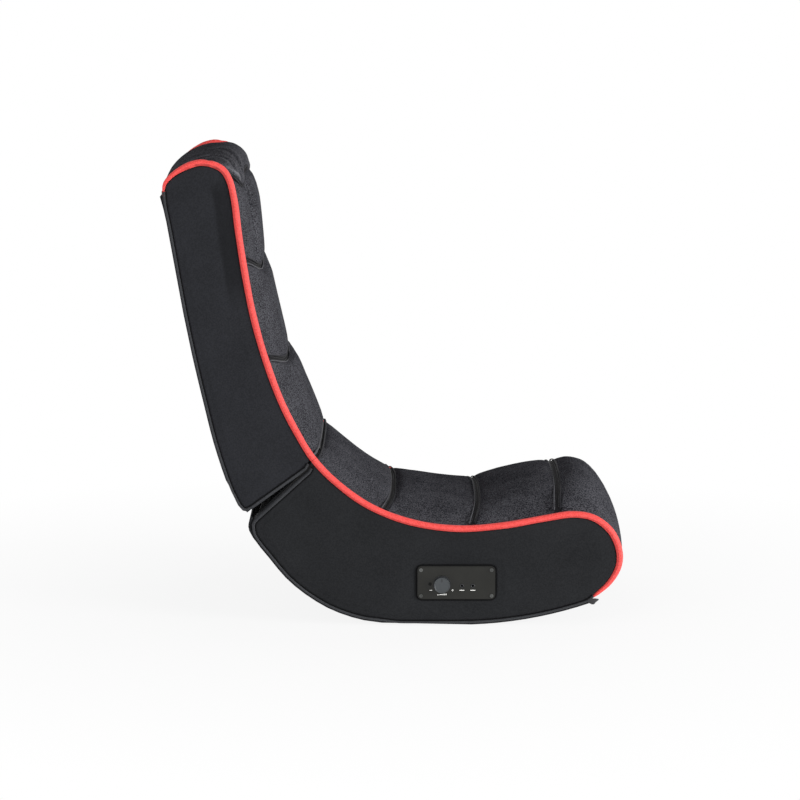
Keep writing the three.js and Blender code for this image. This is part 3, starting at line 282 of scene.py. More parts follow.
class Bench:
    """Shop calls that the pieces share."""

    @staticmethod
    def clear() -> None:
        """Leaves edit mode and deselects all."""
        if bpy.context.object and bpy.context.object.mode != "OBJECT":
            bpy.ops.object.mode_set(mode="OBJECT")
        bpy.ops.object.select_all(action="DESELECT")

    @classmethod
    def only(cls, piece: Piece) -> Piece:
        """Selects one piece and makes it active.

        Args:
            piece: The piece.

        Returns:
            The same piece.
        """
        cls.clear()
        piece.select_set(True)
        bpy.context.view_layer.objects.active = piece
        return piece

    @classmethod
    def add(cls, operator: Callable[..., set[str]], name: str, **settings: object) -> Piece:
        """Adds a basic shape with its place and turn in its mesh.

        Args:
            operator: The call that adds it.
            name: Its name.
            settings: The call's settings.

        Returns:
            The piece.
        """
        cls.clear()
        operator(**settings)
        piece = bpy.context.object
        piece.name = piece.data.name = name
        cls.only(piece)
        bpy.ops.object.transform_apply(location=True, rotation=True, scale=True)
        return piece

    @classmethod
    def edit(cls, piece: Piece, kind: str = "FACE", action: str = "DESELECT") -> None:
        """Goes into edit mode with nothing or everything selected.

        Args:
            piece: The piece to edit.
            kind: What gets selected then: VERT, EDGE or FACE.
            action: DESELECT or SELECT.
        """
        cls.only(piece)
        bpy.ops.object.mode_set(mode="EDIT")
        bpy.ops.mesh.select_mode(type=kind)
        bpy.ops.mesh.select_all(action=action)

    @classmethod
    def pick(cls, piece: Piece, wanted: Callable[[bpy.types.MeshPolygon], bool]) -> None:
        """Selects faces by their place or normal, in edit mode.

        Args:
            piece: The piece in edit mode.
            wanted: Says whether a face is wanted.
        """
        bpy.ops.mesh.select_all(action="DESELECT")
        bpy.ops.object.mode_set(mode="OBJECT")
        for face in piece.data.polygons:
            face.select = wanted(face)
        bpy.ops.object.mode_set(mode="EDIT")

    @classmethod
    def pick_edges(cls, piece: Piece, axis: int, least: float) -> None:
        """Goes into edit mode with the edges selected that run far along one axis.

        Args:
            piece: The piece.
            axis: 0, 1 or 2 for X, Y or Z.
            least: The least way along it.
        """
        cls.edit(piece, "EDGE")
        bpy.ops.object.mode_set(mode="OBJECT")
        for edge in piece.data.edges:
            a, b = (piece.data.vertices[i].co for i in edge.vertices)
            edge.select = abs(a[axis] - b[axis]) > least
        bpy.ops.object.mode_set(mode="EDIT")

    @classmethod
    def done(cls, piece: Piece) -> None:
        """Turns the faces outwards and leaves edit mode."""
        bpy.ops.mesh.select_all(action="SELECT")
        bpy.ops.mesh.normals_make_consistent(inside=False)
        bpy.ops.object.mode_set(mode="OBJECT")

    @classmethod
    def close(cls, piece: Piece, degrees: float) -> None:
        """Turns a shaped piece's faces outwards and shades it smooth.

        Args:
            piece: The piece.
            degrees: Edges that turn by more stay sharp.
        """
        cls.edit(piece)
        cls.done(piece)
        cls.smooth(piece, degrees)

    @classmethod
    def apply(cls, piece: Piece, kind: str, **settings: object) -> None:
        """Adds a modifier and applies it.

        Args:
            piece: The piece.
            kind: The modifier's type.
            settings: Its values.
        """
        cls.only(piece)
        modifier = piece.modifiers.new(kind.title(), kind)
        for name, value in settings.items():
            setattr(modifier, name, value)
        bpy.ops.object.modifier_apply(modifier=modifier.name)

    @classmethod
    def round_edges(cls, piece: Piece, width: float, segments: int, over: float) -> None:
        """Rounds the edges that turn by more than some degrees."""
        limit = {"limit_method": "ANGLE", "angle_limit": math.radians(over)}
        cls.apply(piece, "BEVEL", width=width, segments=segments, **limit)

    @classmethod
    def smooth(cls, piece: Piece, degrees: float = 40) -> None:
        """Shades the piece smooth, apart from sharp edges."""
        cls.only(piece)
        bpy.ops.object.shade_smooth_by_angle(angle=math.radians(degrees))

    @classmethod
    def copy_node(cls, node: str, name: str) -> Piece:
        """Copies a solid's mesh and joins its loose triangles.

        Args:
            node: The solid's name.
            name: The new piece's name.

        Returns:
            The new piece.
        """
        mesh = NODES[node].data.copy()
        mesh.materials.clear()
        piece = bpy.data.objects.new(name, mesh)
        bpy.context.scene.collection.objects.link(piece)
        cls.edit(piece, "VERT", "SELECT")
        bpy.ops.mesh.remove_doubles(threshold=0.00002)
        bpy.ops.mesh.customdata_custom_splitnormals_clear()
        cls.done(piece)
        return piece

    @classmethod
    def sleeve(cls, name: str, sides: int, rings: int) -> tuple[Piece, np.ndarray, np.ndarray]:
        """Adds a long closed sleeve to be shaped along a path.

        Args:
            name: Its name.
            sides: How many sides its section has.
            rings: How many sections it has between its ends.

        Returns:
            The sleeve, each vertex's turn round the section and its share of the length.
        """
        sleeve = cls.add(
            bpy.ops.mesh.primitive_cylinder_add, name, vertices=sides, radius=1.0, depth=1.0,
        )
        cls.pick_edges(sleeve, 2, 0.5)
        bpy.ops.mesh.subdivide(number_cuts=rings)
        cls.done(sleeve)
        places = cls.points(sleeve)
        return sleeve, np.arctan2(places[:, 1], places[:, 0]) % (2 * math.pi), places[:, 2] + 0.5

    @staticmethod
    def points(piece: Piece) -> np.ndarray:
        """Returns the piece's vertices, one row each."""
        return Bench._column(piece, "co")

    @staticmethod
    def move(piece: Piece, points: np.ndarray) -> None:
        """Moves the piece's vertices to new places."""
        piece.data.vertices.foreach_set("co", points.ravel())
        piece.data.update()

    @staticmethod
    def paint_light_shade(piece: Piece, values: np.ndarray) -> None:
        """Keeps each vertex's painted highlight (over 0) or painted shade (under 0)."""
        layer = piece.data.attributes.new("painted_light", "FLOAT", "POINT")
        layer.data.foreach_set("value", values.astype(np.float32))

    @staticmethod
    def normals(piece: Piece) -> np.ndarray:
        """Returns the vertices' normals, one row each."""
        return Bench._column(piece, "normal")

    @staticmethod
    def _column(piece: Piece, kind: str) -> np.ndarray:
        """Reads three numbers of each vertex.

        Args:
            piece: The piece.
            kind: Their name in the mesh.

        Returns:
            One row for each vertex.
        """
        flat = np.empty(len(piece.data.vertices) * 3)
        piece.data.vertices.foreach_get(kind, flat)
        return flat.reshape(-1, 3)


# Materials


class Graph:
    """Short calls for the nodes of one material or group."""

    def __init__(self, tree: bpy.types.NodeTree) -> None:
        """Takes the node tree to add to."""
        self.tree = tree

    def add(self, kind: str, values: dict | None = None, **settings: object) -> bpy.types.Node:
        """Adds a node.

        Args:
            kind: The node's type.
            values: Values or source sockets for its inputs, by name or place.
            settings: Its own properties.

        Returns:
            The node.
        """
        node = self.tree.nodes.new(kind)
        for name, value in settings.items():
            setattr(node, name, value)
        for name, value in (values or {}).items():
            if isinstance(value, Socket):
                self.tree.links.new(value, node.inputs[name])
            else:
                node.inputs[name].default_value = value
        return node

    def math(self, operation: str, a: object, b: object = 0.0) -> Socket:
        """Returns the result of one sum."""
        return self.add("ShaderNodeMath", {0: a, 1: b}, operation=operation).outputs[0]

    def noise(self, vector: Socket, scale: object, detail: float) -> Socket:
        """Returns the value of a noise."""
        values = {"Vector": vector, "Scale": scale, "Detail": detail}
        return self.add("ShaderNodeTexNoise", values).outputs["Fac"]

    def blend(self, *parts: tuple[Socket, float]) -> Socket:
        """Adds up values, each times its share.

        Args:
            parts: The values and their shares.

        Returns:
            The sum.
        """
        total = None
        for value, share in parts:
            scaled = self.math("MULTIPLY", value, share)
            total = scaled if total is None else self.math("ADD", total, scaled)
        return total

    def link(self, source: Socket, target: Socket) -> None:
        """Joins two sockets."""
        self.tree.links.new(source, target)

    def span(
        self, value: Socket, low: float, high: float, a: float, b: float,
    ) -> Socket:
        """Returns a value moved from one range to another, kept inside it."""
        return self.add("ShaderNodeMapRange", {
            "Value": value, "From Min": low, "From Max": high, "To Min": a, "To Max": b,
        }).outputs[0]

    def mix(self, share: object, a: object, b: object, blend: str = "MIX") -> Socket:
        """Returns a mix of two colours."""
        return self.add(
            "ShaderNodeMix", {0: share, 6: a, 7: b}, data_type="RGBA", blend_type=blend,
        ).outputs[2]


Pair = tuple[Socket, Socket]
Build = Callable[[Graph, Socket, Socket], Pair]


class Recipes:
    """Node groups that several finishes share, each built once."""

    _made: dict[str, bpy.types.NodeTree] = {}

    @classmethod
    def group(cls, name: str, main: str, usual: float, build: Build) -> bpy.types.NodeTree:
        """Builds a group, or finds it.

        Args:
            name: Its name.
            main: Its input besides Vector.
            usual: That input's usual value.
            build: Adds its nodes and returns the values for Height and Shade.

        Returns:
            The group.
        """
        if name in cls._made:
            return cls._made[name]
        tree = bpy.data.node_groups.new(name, "ShaderNodeTree")
        tree.interface.new_socket("Vector", in_out="INPUT", socket_type="NodeSocketVector")
        socket = tree.interface.new_socket(main, in_out="INPUT", socket_type="NodeSocketFloat")
        socket.default_value = usual
        for key in ("Height", "Shade"):
            tree.interface.new_socket(key, in_out="OUTPUT", socket_type="NodeSocketFloat")
        g = Graph(tree)
        enter, leave = g.add("NodeGroupInput"), g.add("NodeGroupOutput")
        height, shade = build(g, enter.outputs["Vector"], enter.outputs[main])
        g.link(height, leave.inputs["Height"])
        g.link(shade, leave.inputs["Shade"])
        cls._made[name] = tree
        return tree

    @staticmethod
    def weave(g: Graph, vector: Socket, threads: Socket) -> Pair:
        """Draws plain woven cloth: warp and weft threads, and slubs.

        Args:
            g: The group's nodes.
            vector: The place on the piece.
            threads: How many threads there are.

        Returns:
            The height and the shade.
        """
        warp, weft = (g.add("ShaderNodeTexWave", {
            "Vector": vector, "Scale": threads, "Distortion": 1.2, "Detail": 1.0, "Detail Scale": 0.4,
        }, wave_type="BANDS", bands_direction=axis).outputs["Fac"] for axis in ("X", "Z"))
        slubs, cloud = g.noise(vector, 900.0, 2.0), g.noise(vector, 14.0, 3.0)
        fleck = g.span(g.noise(vector, 520.0, 2.0), 0.35, 0.65, 0.3, 0.7)
        height = g.blend((g.math("MULTIPLY", warp, weft), 0.7), (slubs, 0.5))
        return height, g.blend((fleck, 0.6), (cloud, 0.4))

    @staticmethod
    def grain(g: Graph, vector: Socket, cells: Socket) -> Pair:
        """Draws embossed coated cloth: small cells, pores and soft wrinkles.

        Args:
            g: The group's nodes.
            vector: The place on the piece.
            cells: How fine the cells are.

        Returns:
            The height and the shade.
        """
        edges = g.add(
            "ShaderNodeTexVoronoi", {"Vector": vector, "Scale": cells, "Randomness": 1.0},
            feature="DISTANCE_TO_EDGE",
        ).outputs["Distance"]
        ridge = g.span(edges, 0.0, 0.25, 0.0, 1.0)
        pores, cloud = g.noise(vector, 1500.0, 2.0), g.noise(vector, 22.0, 4.0)
        fleck = g.span(g.noise(vector, 520.0, 2.0), 0.34, 0.66, 0.0, 1.0)
        return g.blend((ridge, 0.6), (pores, 0.4)), g.blend((ridge, 0.15), (cloud, 0.3), (fleck, 0.55))

    @staticmethod
    def timber(g: Graph, vector: Socket, fibres: Socket) -> Pair:
        """Draws sawn board: long fibres and slow rings.

        Args:
            g: The group's nodes.
            vector: The place on the piece.
            fibres: How fine the fibres are.

        Returns:
            The height and the shade.
        """
        long = g.add("ShaderNodeMapping", {"Vector": vector, "Scale": (1.0, 1.0, 0.08)}).outputs[0]
        streaks = g.noise(long, fibres, 4.0)
        rings = g.add("ShaderNodeTexWave", {
            "Vector": long, "Scale": 9.0, "Distortion": 7.0, "Detail": 2.0,
        }, wave_type="BANDS").outputs["Fac"]
        return streaks, g.blend((streaks, 0.6), (rings, 0.4))

    @staticmethod
    def speckle(g: Graph, vector: Socket, fineness: Socket) -> Pair:
        """Draws moulded or brushed faces: fine texture and slow smudges."""
        return g.noise(vector, fineness, 2.0), g.noise(vector, 30.0, 3.0)


class Texture(Enum):
    """Surface kinds: each one's group name, main input, that input's usual value and recipe."""

    WEAVE = ("woven_cloth", "Threads", 180.0, Recipes.weave)
    GRAIN = ("embossed_cloth", "Cells", 700.0, Recipes.grain)
    TIMBER = ("sawn_board", "Fibres", 160.0, Recipes.timber)
    SPECKLE = ("moulded_face", "Fineness", 1200.0, Recipes.speckle)


def linear(colour: tuple[float, float, float]) -> tuple[float, float, float, float]:
    """Turns a screen colour from 0 to 255 into a linear one.

    Args:
        colour: Red, green and blue.

    Returns:
        Linear red, green, blue and 1.
    """
    parts = [c / 255 for c in colour]
    return (*(c / 12.92 if c <= 0.04045 else ((c + 0.055) / 1.055) ** 2.4 for c in parts), 1.0)


# Colour that painted shade mixes towards
SHADOW_COLOUR = (6, 6, 7)


@dataclass(frozen=True)
class Finish:
    """One finish: colours, texture and gloss."""

    name: str
    slot: str
    dark: tuple[float, float, float]
    light: tuple[float, float, float]
    texture: Texture
    rough: tuple[float, float] = (0.7, 0.9)
    bump: float = 0.4
    depth: float = 0.0003
    fineness: float = 0.0
    metallic: float = 0.0
    sheen: float = 0.0
    sheen_tint: tuple[float, float, float] = (200, 200, 205)
    specular: float = 0.5
    # Takes painted highlight and painted shade from a vertex attribute
    painted_light: bool = False

    def material(self) -> bpy.types.Material:
        """Returns the finish's material, built once."""
        found = bpy.data.materials.get(self.name)
        if found:
            return found
        material = bpy.data.materials.new(self.name)
        material.use_nodes = True
        material.node_tree.nodes.clear()
        g = Graph(material.node_tree)
        group, main, usual, recipe = self.texture.value
        place = g.add("ShaderNodeTexCoord").outputs["Object"]
        pattern = g.add("ShaderNodeGroup", node_tree=Recipes.group(group, main, usual, recipe))
        g.link(place, pattern.inputs["Vector"])
        pattern.inputs[main].default_value = self.fineness or usual
        shade = g.span(pattern.outputs["Shade"], 0.3, 0.7, 0.0, 1.0)
        colour = g.mix(shade, linear(self.dark), linear(self.light))
        # Painted highlight towards the sheen tint where the vertex attribute is over 0, painted shade towards
        # SHADOW_COLOUR where it is under 0
        if self.painted_light:
            mark = g.add("ShaderNodeAttribute", attribute_name="painted_light", attribute_type="GEOMETRY")
            painted_amount = mark.outputs["Fac"]
            colour = g.mix(g.span(painted_amount, 0.0, 1.0, 0.0, 0.5), colour, linear(self.sheen_tint))
            colour = g.mix(g.span(painted_amount, -1.0, 0.0, 0.9, 0.0), colour, linear(SHADOW_COLOUR))
        rough = g.span(pattern.outputs["Shade"], 0.2, 0.8, *self.rough)
        bump = g.add("ShaderNodeBump", {
            "Strength": self.bump, "Distance": self.depth, "Height": pattern.outputs["Height"],
        })
        shader = g.add("ShaderNodeBsdfPrincipled", {
            "Base Color": colour, "Roughness": rough, "Metallic": self.metallic,
            "Normal": bump.outputs[0], "Sheen Weight": self.sheen, "Sheen Roughness": 0.45,
            "Sheen Tint": linear(self.sheen_tint), "Specular IOR Level": self.specular,
        })
        g.add("ShaderNodeOutputMaterial", {"Surface": shader.outputs[0]})
        return material


@dataclass(frozen=True)
class Finishes:
    """Every finish of the chair."""

    back_cover: Finish = Finish(
        "back_cover_cloth", "back_fabric", (27, 28, 31), (42, 43, 47), Texture.WEAVE, (0.8, 0.95),
        0.5, 0.0004, specular=0.12, painted_light=True,
    )
    seat_cover: Finish = Finish(
        "seat_cover_cloth", "seat_fabric", (23, 24, 26), (38, 39, 41), Texture.WEAVE, (0.8, 0.95),
        0.5, 0.0004, specular=0.12,
    )
    back_pad: Finish = Finish(
        "back_pad_cloth", "back_pad_fabric", (32, 32, 35), (87, 87, 92), Texture.GRAIN, (0.85, 1.0),
        0.8, 0.0005, specular=0.0, painted_light=True,
    )
    seat_pad: Finish = Finish(
        "seat_pad_cloth", "seat_pad_fabric", (33, 33, 37), (88, 88, 93), Texture.GRAIN, (0.85, 1.0),
        0.8, 0.0005, specular=0.0, painted_light=True,
    )
    # Near-black tape in each channel: painted shade in the groove
    channel: Finish = Finish(
        "shaded_channel_tape", "seat_pad_fabric", (14, 14, 16), (22, 22, 24), Texture.WEAVE, (0.8, 0.95),
        0.5, 0.0003, fineness=260.0, specular=0.15,
    )
    # Lighter rolled edge: painted highlight on the shoulder that catches the light
    rolled_highlight: Finish = Finish(
        "highlit_rolled_edge", "seat_pad_fabric", (62, 62, 66), (86, 86, 90), Texture.GRAIN, (0.6, 0.8),
        0.5, 0.0003, specular=0.1,
    )
    # Darker rolled edge: painted shade on the shoulders in the groove
    rolled_shade: Finish = Finish(
        "shaded_rolled_edge", "seat_pad_fabric", (26, 26, 29), (42, 42, 46), Texture.GRAIN, (0.6, 0.8),
        0.5, 0.0003, specular=0.1,
    )
    thread: Finish = Finish(
        "dark_thread", "dark_binding", (30, 30, 33), (44, 44, 47), Texture.SPECKLE, (0.5, 0.7),
        0.3, 0.0001, sheen=0.1,
    )
    # Near-black thread beside each edge tape: painted shadow of the seam
    seam_shadow: Finish = Finish(
        "painted_seam_shadow", "dark_binding", (6, 6, 7), (12, 12, 13), Texture.SPECKLE, (0.7, 0.9),
        0.3, 0.0001, specular=0.1,
    )
    # Near-black rim round the control panel: painted shadow of the gap round it
    panel_shadow: Finish = Finish(
        "painted_panel_shadow", "panel_plastic", (6, 6, 7), (13, 13, 14), Texture.SPECKLE, (0.8, 0.95),
        0.5, 0.0002, specular=0.1,
    )
    piping: Finish = Finish(
        "red_cord_cloth", "red_piping", (214, 56, 52), (236, 84, 80), Texture.GRAIN, (0.5, 0.68),
        0.35, 0.0003, fineness=900.0, sheen=0.06, sheen_tint=(255, 170, 165), specular=0.4, painted_light=True,
    )
    binding: Finish = Finish(
        "edge_binding_tape", "dark_binding", (38, 39, 42), (60, 61, 64), Texture.WEAVE, (0.6, 0.8),
        0.5, 0.0003, fineness=320.0, specular=0.2,
    )
    sole: Finish = Finish(
        "sole_felt", "sole_fabric", (24, 25, 27), (38, 39, 41), Texture.SPECKLE, (0.85, 0.97),
        0.6, 0.0006, fineness=500.0, specular=0.2,
    )
    plywood: Finish = Finish(
        "birch_plywood", "plywood", (168, 132, 88), (206, 172, 124), Texture.TIMBER, (0.6, 0.8), 0.3, 0.0003,
    )
    black_board: Finish = Finish(
        "black_painted_board", "plywood", (24, 23, 22), (34, 33, 31), Texture.TIMBER, (0.6, 0.8), 0.3, 0.0003,
    )
    fibreboard: Finish = Finish(
        "black_hardboard", "fibreboard", (30, 27, 25), (44, 40, 37), Texture.SPECKLE, (0.75, 0.9),
        0.4, 0.0003, fineness=700.0,
    )
    steel: Finish = Finish(
        "zinc_steel", "steel", (142, 144, 148), (176, 178, 182), Texture.SPECKLE, (0.28, 0.45),
        0.2, 0.0001, metallic=1.0,
    )
    hinge: Finish = Finish(
        "black_hinge_steel", "steel", (18, 18, 19), (34, 34, 36), Texture.SPECKLE, (0.5, 0.65),
        0.2, 0.0001, metallic=0.6,
    )
    screw: Finish = Finish(
        "screw_steel", "steel", (76, 77, 76), (112, 113, 112), Texture.SPECKLE, (0.3, 0.45),
        0.2, 0.0001, metallic=1.0,
    )
    panel: Finish = Finish(
        "panel_gloss", "panel_plastic", (25, 25, 22), (32, 32, 29), Texture.SPECKLE, (0.16, 0.26),
        0.06, 0.0001, specular=0.3,
    )
    knob: Finish = Finish(
        "knob_satin", "knob_plastic", (48, 52, 55), (60, 64, 67), Texture.SPECKLE, (0.35, 0.5), 0.15, 0.0001,
    )
    housing: Finish = Finish(
        "black_housing_moulding", "housing_plastic", (26, 27, 30), (38, 39, 42), Texture.SPECKLE, (0.4, 0.6),
        0.3, 0.0002,
    )
    laminate: Finish = Finish(
        "green_board_laminate", "circuit_laminate", (30, 76, 42), (44, 98, 56), Texture.SPECKLE, (0.35, 0.5),
        0.2, 0.0001,
    )
    lens: Finish = Finish(
        "dark_smoked_lens", "lamp_lens", (10, 10, 11), (22, 23, 24), Texture.SPECKLE, (0.4, 0.5),
        0.05, 0.0001, specular=0.15,
    )
    speaker: Finish = Finish(
        "speaker_basket", "speaker_body", (28, 28, 30), (44, 44, 47), Texture.SPECKLE, (0.45, 0.65),
        0.3, 0.0002, metallic=0.2,
    )
    print_white: Finish = Finish(
        "printed_marks", "panel_plastic", (232, 232, 228), (244, 244, 240), Texture.SPECKLE, (0.5, 0.6),
        0.05, 0.00005,
    )


FINISHES = Finishes()


def dress(piece: Piece, finish: Finish) -> Piece:
    """Gives a piece one finish.

    Args:
        piece: The piece.
        finish: Its finish.

    Returns:
        The same piece.
    """
    piece.data.materials.clear()
    piece.data.materials.append(finish.material())
    return piece


def mount(piece: Piece, finish: Finish, body: Body, node: str = "") -> Piece:
    """Finishes a piece and makes it ride on its body.

    Args:
        piece: The piece.
        finish: Its finish.
        body: Its body.
        node: The solid that it stands for, if any.

    Returns:
        The same piece.
    """
    dress(piece, finish)
    if node:
        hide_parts(node)
    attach(piece, body.value)
    LOG.info("%s: %d faces", piece.name, len(piece.data.polygons))
    return piece


# Soft pieces


@dataclass(frozen=True)
class Pleat:
    """A fold pressed into a pad, as a path of distances along and across the chair."""

    path: tuple[tuple[float, float], ...]
    depth: float
    width: float
    fade: float = 0.3
    least: float = 0.25
    heap: float = 0.3
    heap_place: float = 2.3

    def press(self, along: np.ndarray, y: np.ndarray) -> np.ndarray:
        """Gives how deep the fold is at each place, less than 0 where cloth heaps up beside it.

        Args:
            along: Distances along the edge.
            y: Distances from the middle plane.

        Returns:
            The depths.
        """
        knots = np.array(self.path)
        steps = np.linspace(0, len(knots) - 1, 90)
        line = np.column_stack([np.interp(steps, range(len(knots)), knots[:, i]) for i in (0, 1)])
        far = np.sqrt(gaps(np.column_stack([along, -np.abs(y)]), line))
        gap = far.min(axis=1)
        share = np.clip(steps[far.argmin(axis=1)] / (len(knots) - 1) / self.fade, self.least, 1)
        heap = self.heap * bell(gap - self.heap_place * self.width, self.width)
        return self.depth * share * (bell(gap, self.width) - heap)


@dataclass(frozen=True)
class HeadDome:
    """How the top roll falls to the cords: slowly behind, full in front."""

    power: float = 1.6
    least: float = 0.05
    crown: float = 0.02
    front_start: float = 0.086
    front_width: float = 0.04
    front_full: float = 1.4
    places: tuple[float, ...] = (0.0, 0.035, 0.09)
    rises: tuple[float, ...] = (0.36, 0.42, 0.72)

    def factor(self, along: np.ndarray, y: np.ndarray) -> np.ndarray:
        """Gives what a height of the solid is multiplied by.

        Args:
            along: Distances along the edge.
            y: Distances from the middle plane.

        Returns:
            The factors.
        """
        share = np.clip(np.abs(y) / SIZES.pad_edge, 0, 1)
        full = np.maximum(SIZES.across(y), self.least)
        front = ease(np.clip((along - self.front_start) / self.front_width, 0, 1))
        rise = np.interp(along, self.places, self.rises)
        flat = rise * (1 - share**self.power) / full + self.crown
        return np.minimum(1, flat) * (1 - front) + self.front_full * front


HEAD_DOME = HeadDome()


@dataclass
class Pad:
    """A stuffed section between two sewn channels, swollen by cloth simulation."""

    node: str
    body: Body
    start: float
    end: float
    finish: Finish
    low: float = -SIZES.pad_edge
    high: float = SIZES.pad_edge
    bends: bool = False
    swell: float = 0.0024
    slack: float = 0.0022
    voxel: float = 0.006
    held_below: float = 0.001
    shoulder: float = 0.013
    shoulder_power: float = 2.2
    under_tape: float = 0.0008
    gap: tuple[float, float] = (0.0046, 0.0046)
    clearance: float = 0.0003
    side_gap: tuple[float, float] = (0.0004, 0.002)
    pucker: float = 0.0004
    pucker_reach: float = 0.011
    edge_pucker_reach: float = 0.012
    uneven: float = 0.0009
    frames: int = 20
    pressure: float = 4.0
    pleats: tuple[Pleat, ...] = ()
    pleat_shade_depth: float = 0.004
    draw: float = 0.0
    draw_reach: float = 0.034
    full: tuple[float, float] = (1.0, 1.0)
    seed: float = 0.0
    start_depth: float | None = None
    end_depth: float | None = None
    dome: bool = False

    @property
    def free_start(self) -> bool:
        """Says that no channel bounds the pad's start."""
        return self.start_depth is None

    @property
    def free_end(self) -> bool:
        """Says that no channel bounds the pad's end."""
        return self.end_depth is None

    def build(self) -> None:
        """Makes the pad from its solid."""
        piece = Bench.copy_node(self.node, self.node + "_cushion")
        Bench.edit(piece, "VERT", "SELECT")
        bpy.ops.transform.shrink_fatten(value=-self.slack)
        Bench.done(piece)
        piece.data.remesh_voxel_size = self.voxel
        Bench.only(piece)
        bpy.ops.object.voxel_remesh()
        self._swell(piece)
        Bench.apply(piece, "SMOOTH", factor=0.5, iterations=5)
        self._keep_clear(piece)
        Bench.apply(piece, "SUBSURF", levels=1, render_levels=1)
        self._shape(piece)
        Bench.smooth(piece, 80)
        dress(piece, self.finish)
        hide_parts(self.node)
        LOG.info("%s: %d faces", piece.name, len(piece.data.polygons))
        fasten(piece, self.body, self.bends)

    def _swell(self, piece: Piece) -> None:
        """Swells the pad with inner pressure, as far as its cloth gives.

        Args:
            piece: The remeshed pad.
        """
        before = Bench.points(piece).copy()
        normals = Bench.normals(piece)
        _, height = RIM.read(before)
        held = height < self.held_below
        group = piece.vertex_groups.new(name="held")
        group.add([int(i) for i in np.flatnonzero(held)], 1.0, "REPLACE")
        Bench.only(piece)
        cloth = piece.modifiers.new("Cloth", "CLOTH")
        cloth.settings.quality = 4
        cloth.settings.mass = 0.2
        cloth.settings.use_pressure = True
        cloth.settings.uniform_pressure_force = self.pressure
        cloth.settings.effector_weights.gravity = 0.0
        cloth.settings.vertex_group_mass = "held"
        cloth.point_cache.frame_start = 1
        cloth.point_cache.frame_end = self.frames
        for number in range(1, self.frames + 1):
            bpy.context.scene.frame_set(number)
        bpy.ops.object.modifier_apply(modifier=cloth.name)
        bpy.context.scene.frame_set(1)
        piece.vertex_groups.clear()
        moved = Bench.points(piece) - before
        distance = np.linalg.norm(moved, axis=1)
        share = np.minimum(1.0, self.swell / np.maximum(distance, 1e-9))
        Bench.move(piece, before + moved * share[:, None])

    def _keep_clear(self, piece: Piece) -> None:
        """Keeps the pad between its channels and off its neighbours.

        Args:
            piece: The swollen pad.
        """
        points = Bench.points(piece)
        along, height = RIM.read(points)
        y = points[:, 1]
        top = height > SIZES.top_from
        back = [np.where(top, gap, self.clearance) for gap in self.gap]
        start = self.start * RIM.length + (self.clearance if self.free_start else back[0])
        end = self.end * RIM.length - (self.clearance if self.free_end else back[1])
        side = self.side_gap[0] + np.where(top, self.side_gap[1], 0)
        low = self.low if self.low <= -SIZES.pad_edge else self.low + side
        high = self.high if self.high >= SIZES.pad_edge else self.high - side
        Bench.move(piece, RIM.place(np.clip(along, start, end), np.clip(y, low, high), height))

    def _shape(self, piece: Piece) -> None:
        """Adds the puckers that sewing pulls in and slow unevenness, and paints shade into the pleats' folds
        and a highlight on the cloth heaped beside them.

        Args:
            piece: The pad after its subdivision.
        """
        points = Bench.points(piece)
        normals = Bench.normals(piece)
        along, height = RIM.read(points)
        y = points[:, 1]
        top = np.clip(height / (2 * SIZES.top_from), 0, 1)
        lift = np.zeros(len(points))
        wave = np.sin(y * 2 * math.pi / SIZES.seam_pull + 1.7 * np.sin(y * 61 + self.seed) + self.seed)
        for place, free in ((self.start, self.free_start), (self.end, self.free_end)):
            near = np.exp(-np.abs(along - place * RIM.length) / self.pucker_reach)
            lift += 0 if free else self.pucker * near * wave
        height = self._shoulders(along, y, height)
        points = RIM.place(along, y, height)
        edge = self.pucker * np.exp(-(SIZES.pad_edge - np.abs(y)) / self.edge_pucker_reach)
        lift += edge * np.sin(along * 2 * math.pi / 0.024 + 1.4 * np.sin(along * 47 + self.seed))
        lift += self.uneven * np.sin(along * 23 + self.seed) * np.sin(y * 17 + 2 * self.seed)
        moved = points + normals * (lift * top)[:, None]
        along, height = RIM.read(moved)
        along, y = along + seam_bow(along, y), moved[:, 1]
        y = y - self.draw * np.sign(y) * bell(np.abs(y) - SIZES.pillow_half_width, self.draw_reach)
        pressed = sum((pleat.press(along, y) for pleat in self.pleats), np.zeros(len(y)))
        Bench.move(piece, RIM.place(along, y, height - pressed * top))
        # Painted shade in the pleats' folds, painted highlight on the cloth heaped beside them
        Bench.paint_light_shade(piece, np.clip(-pressed / self.pleat_shade_depth, -0.8, 0.5) * top)

    def _shoulders(self, along: np.ndarray, y: np.ndarray, height: np.ndarray) -> np.ndarray:
        """Rounds the pad down into the channels beside it.

        Args:
            along: Distances along the edge.
            y: Distances from the middle plane.
            height: Heights over the edge.

        Returns:
            The new heights.
        """
        part = np.clip((along / RIM.length - self.start) / (self.end - self.start), 0, 1)
        factor = self.full[0] + (self.full[1] - self.full[0]) * part
        height = np.where(height > 0, height * factor, height)
        if self.dome:
            height = np.where(height > 0, height * HEAD_DOME.factor(along, y), height)
        for place, depth, gap in zip((self.start, self.end), (self.start_depth, self.end_depth), self.gap):
            if depth is None:
                continue
            away = (np.abs(along - place * RIM.length) - gap) / (self.shoulder - gap)
            bottom = depth * SIZES.across(y) ** SIZES.groove_power - self.under_tape
            share = (1 - np.clip(away, 0, 1)) ** self.shoulder_power
            height = np.where(height > bottom, height - (height - bottom) * share, height)
        return height


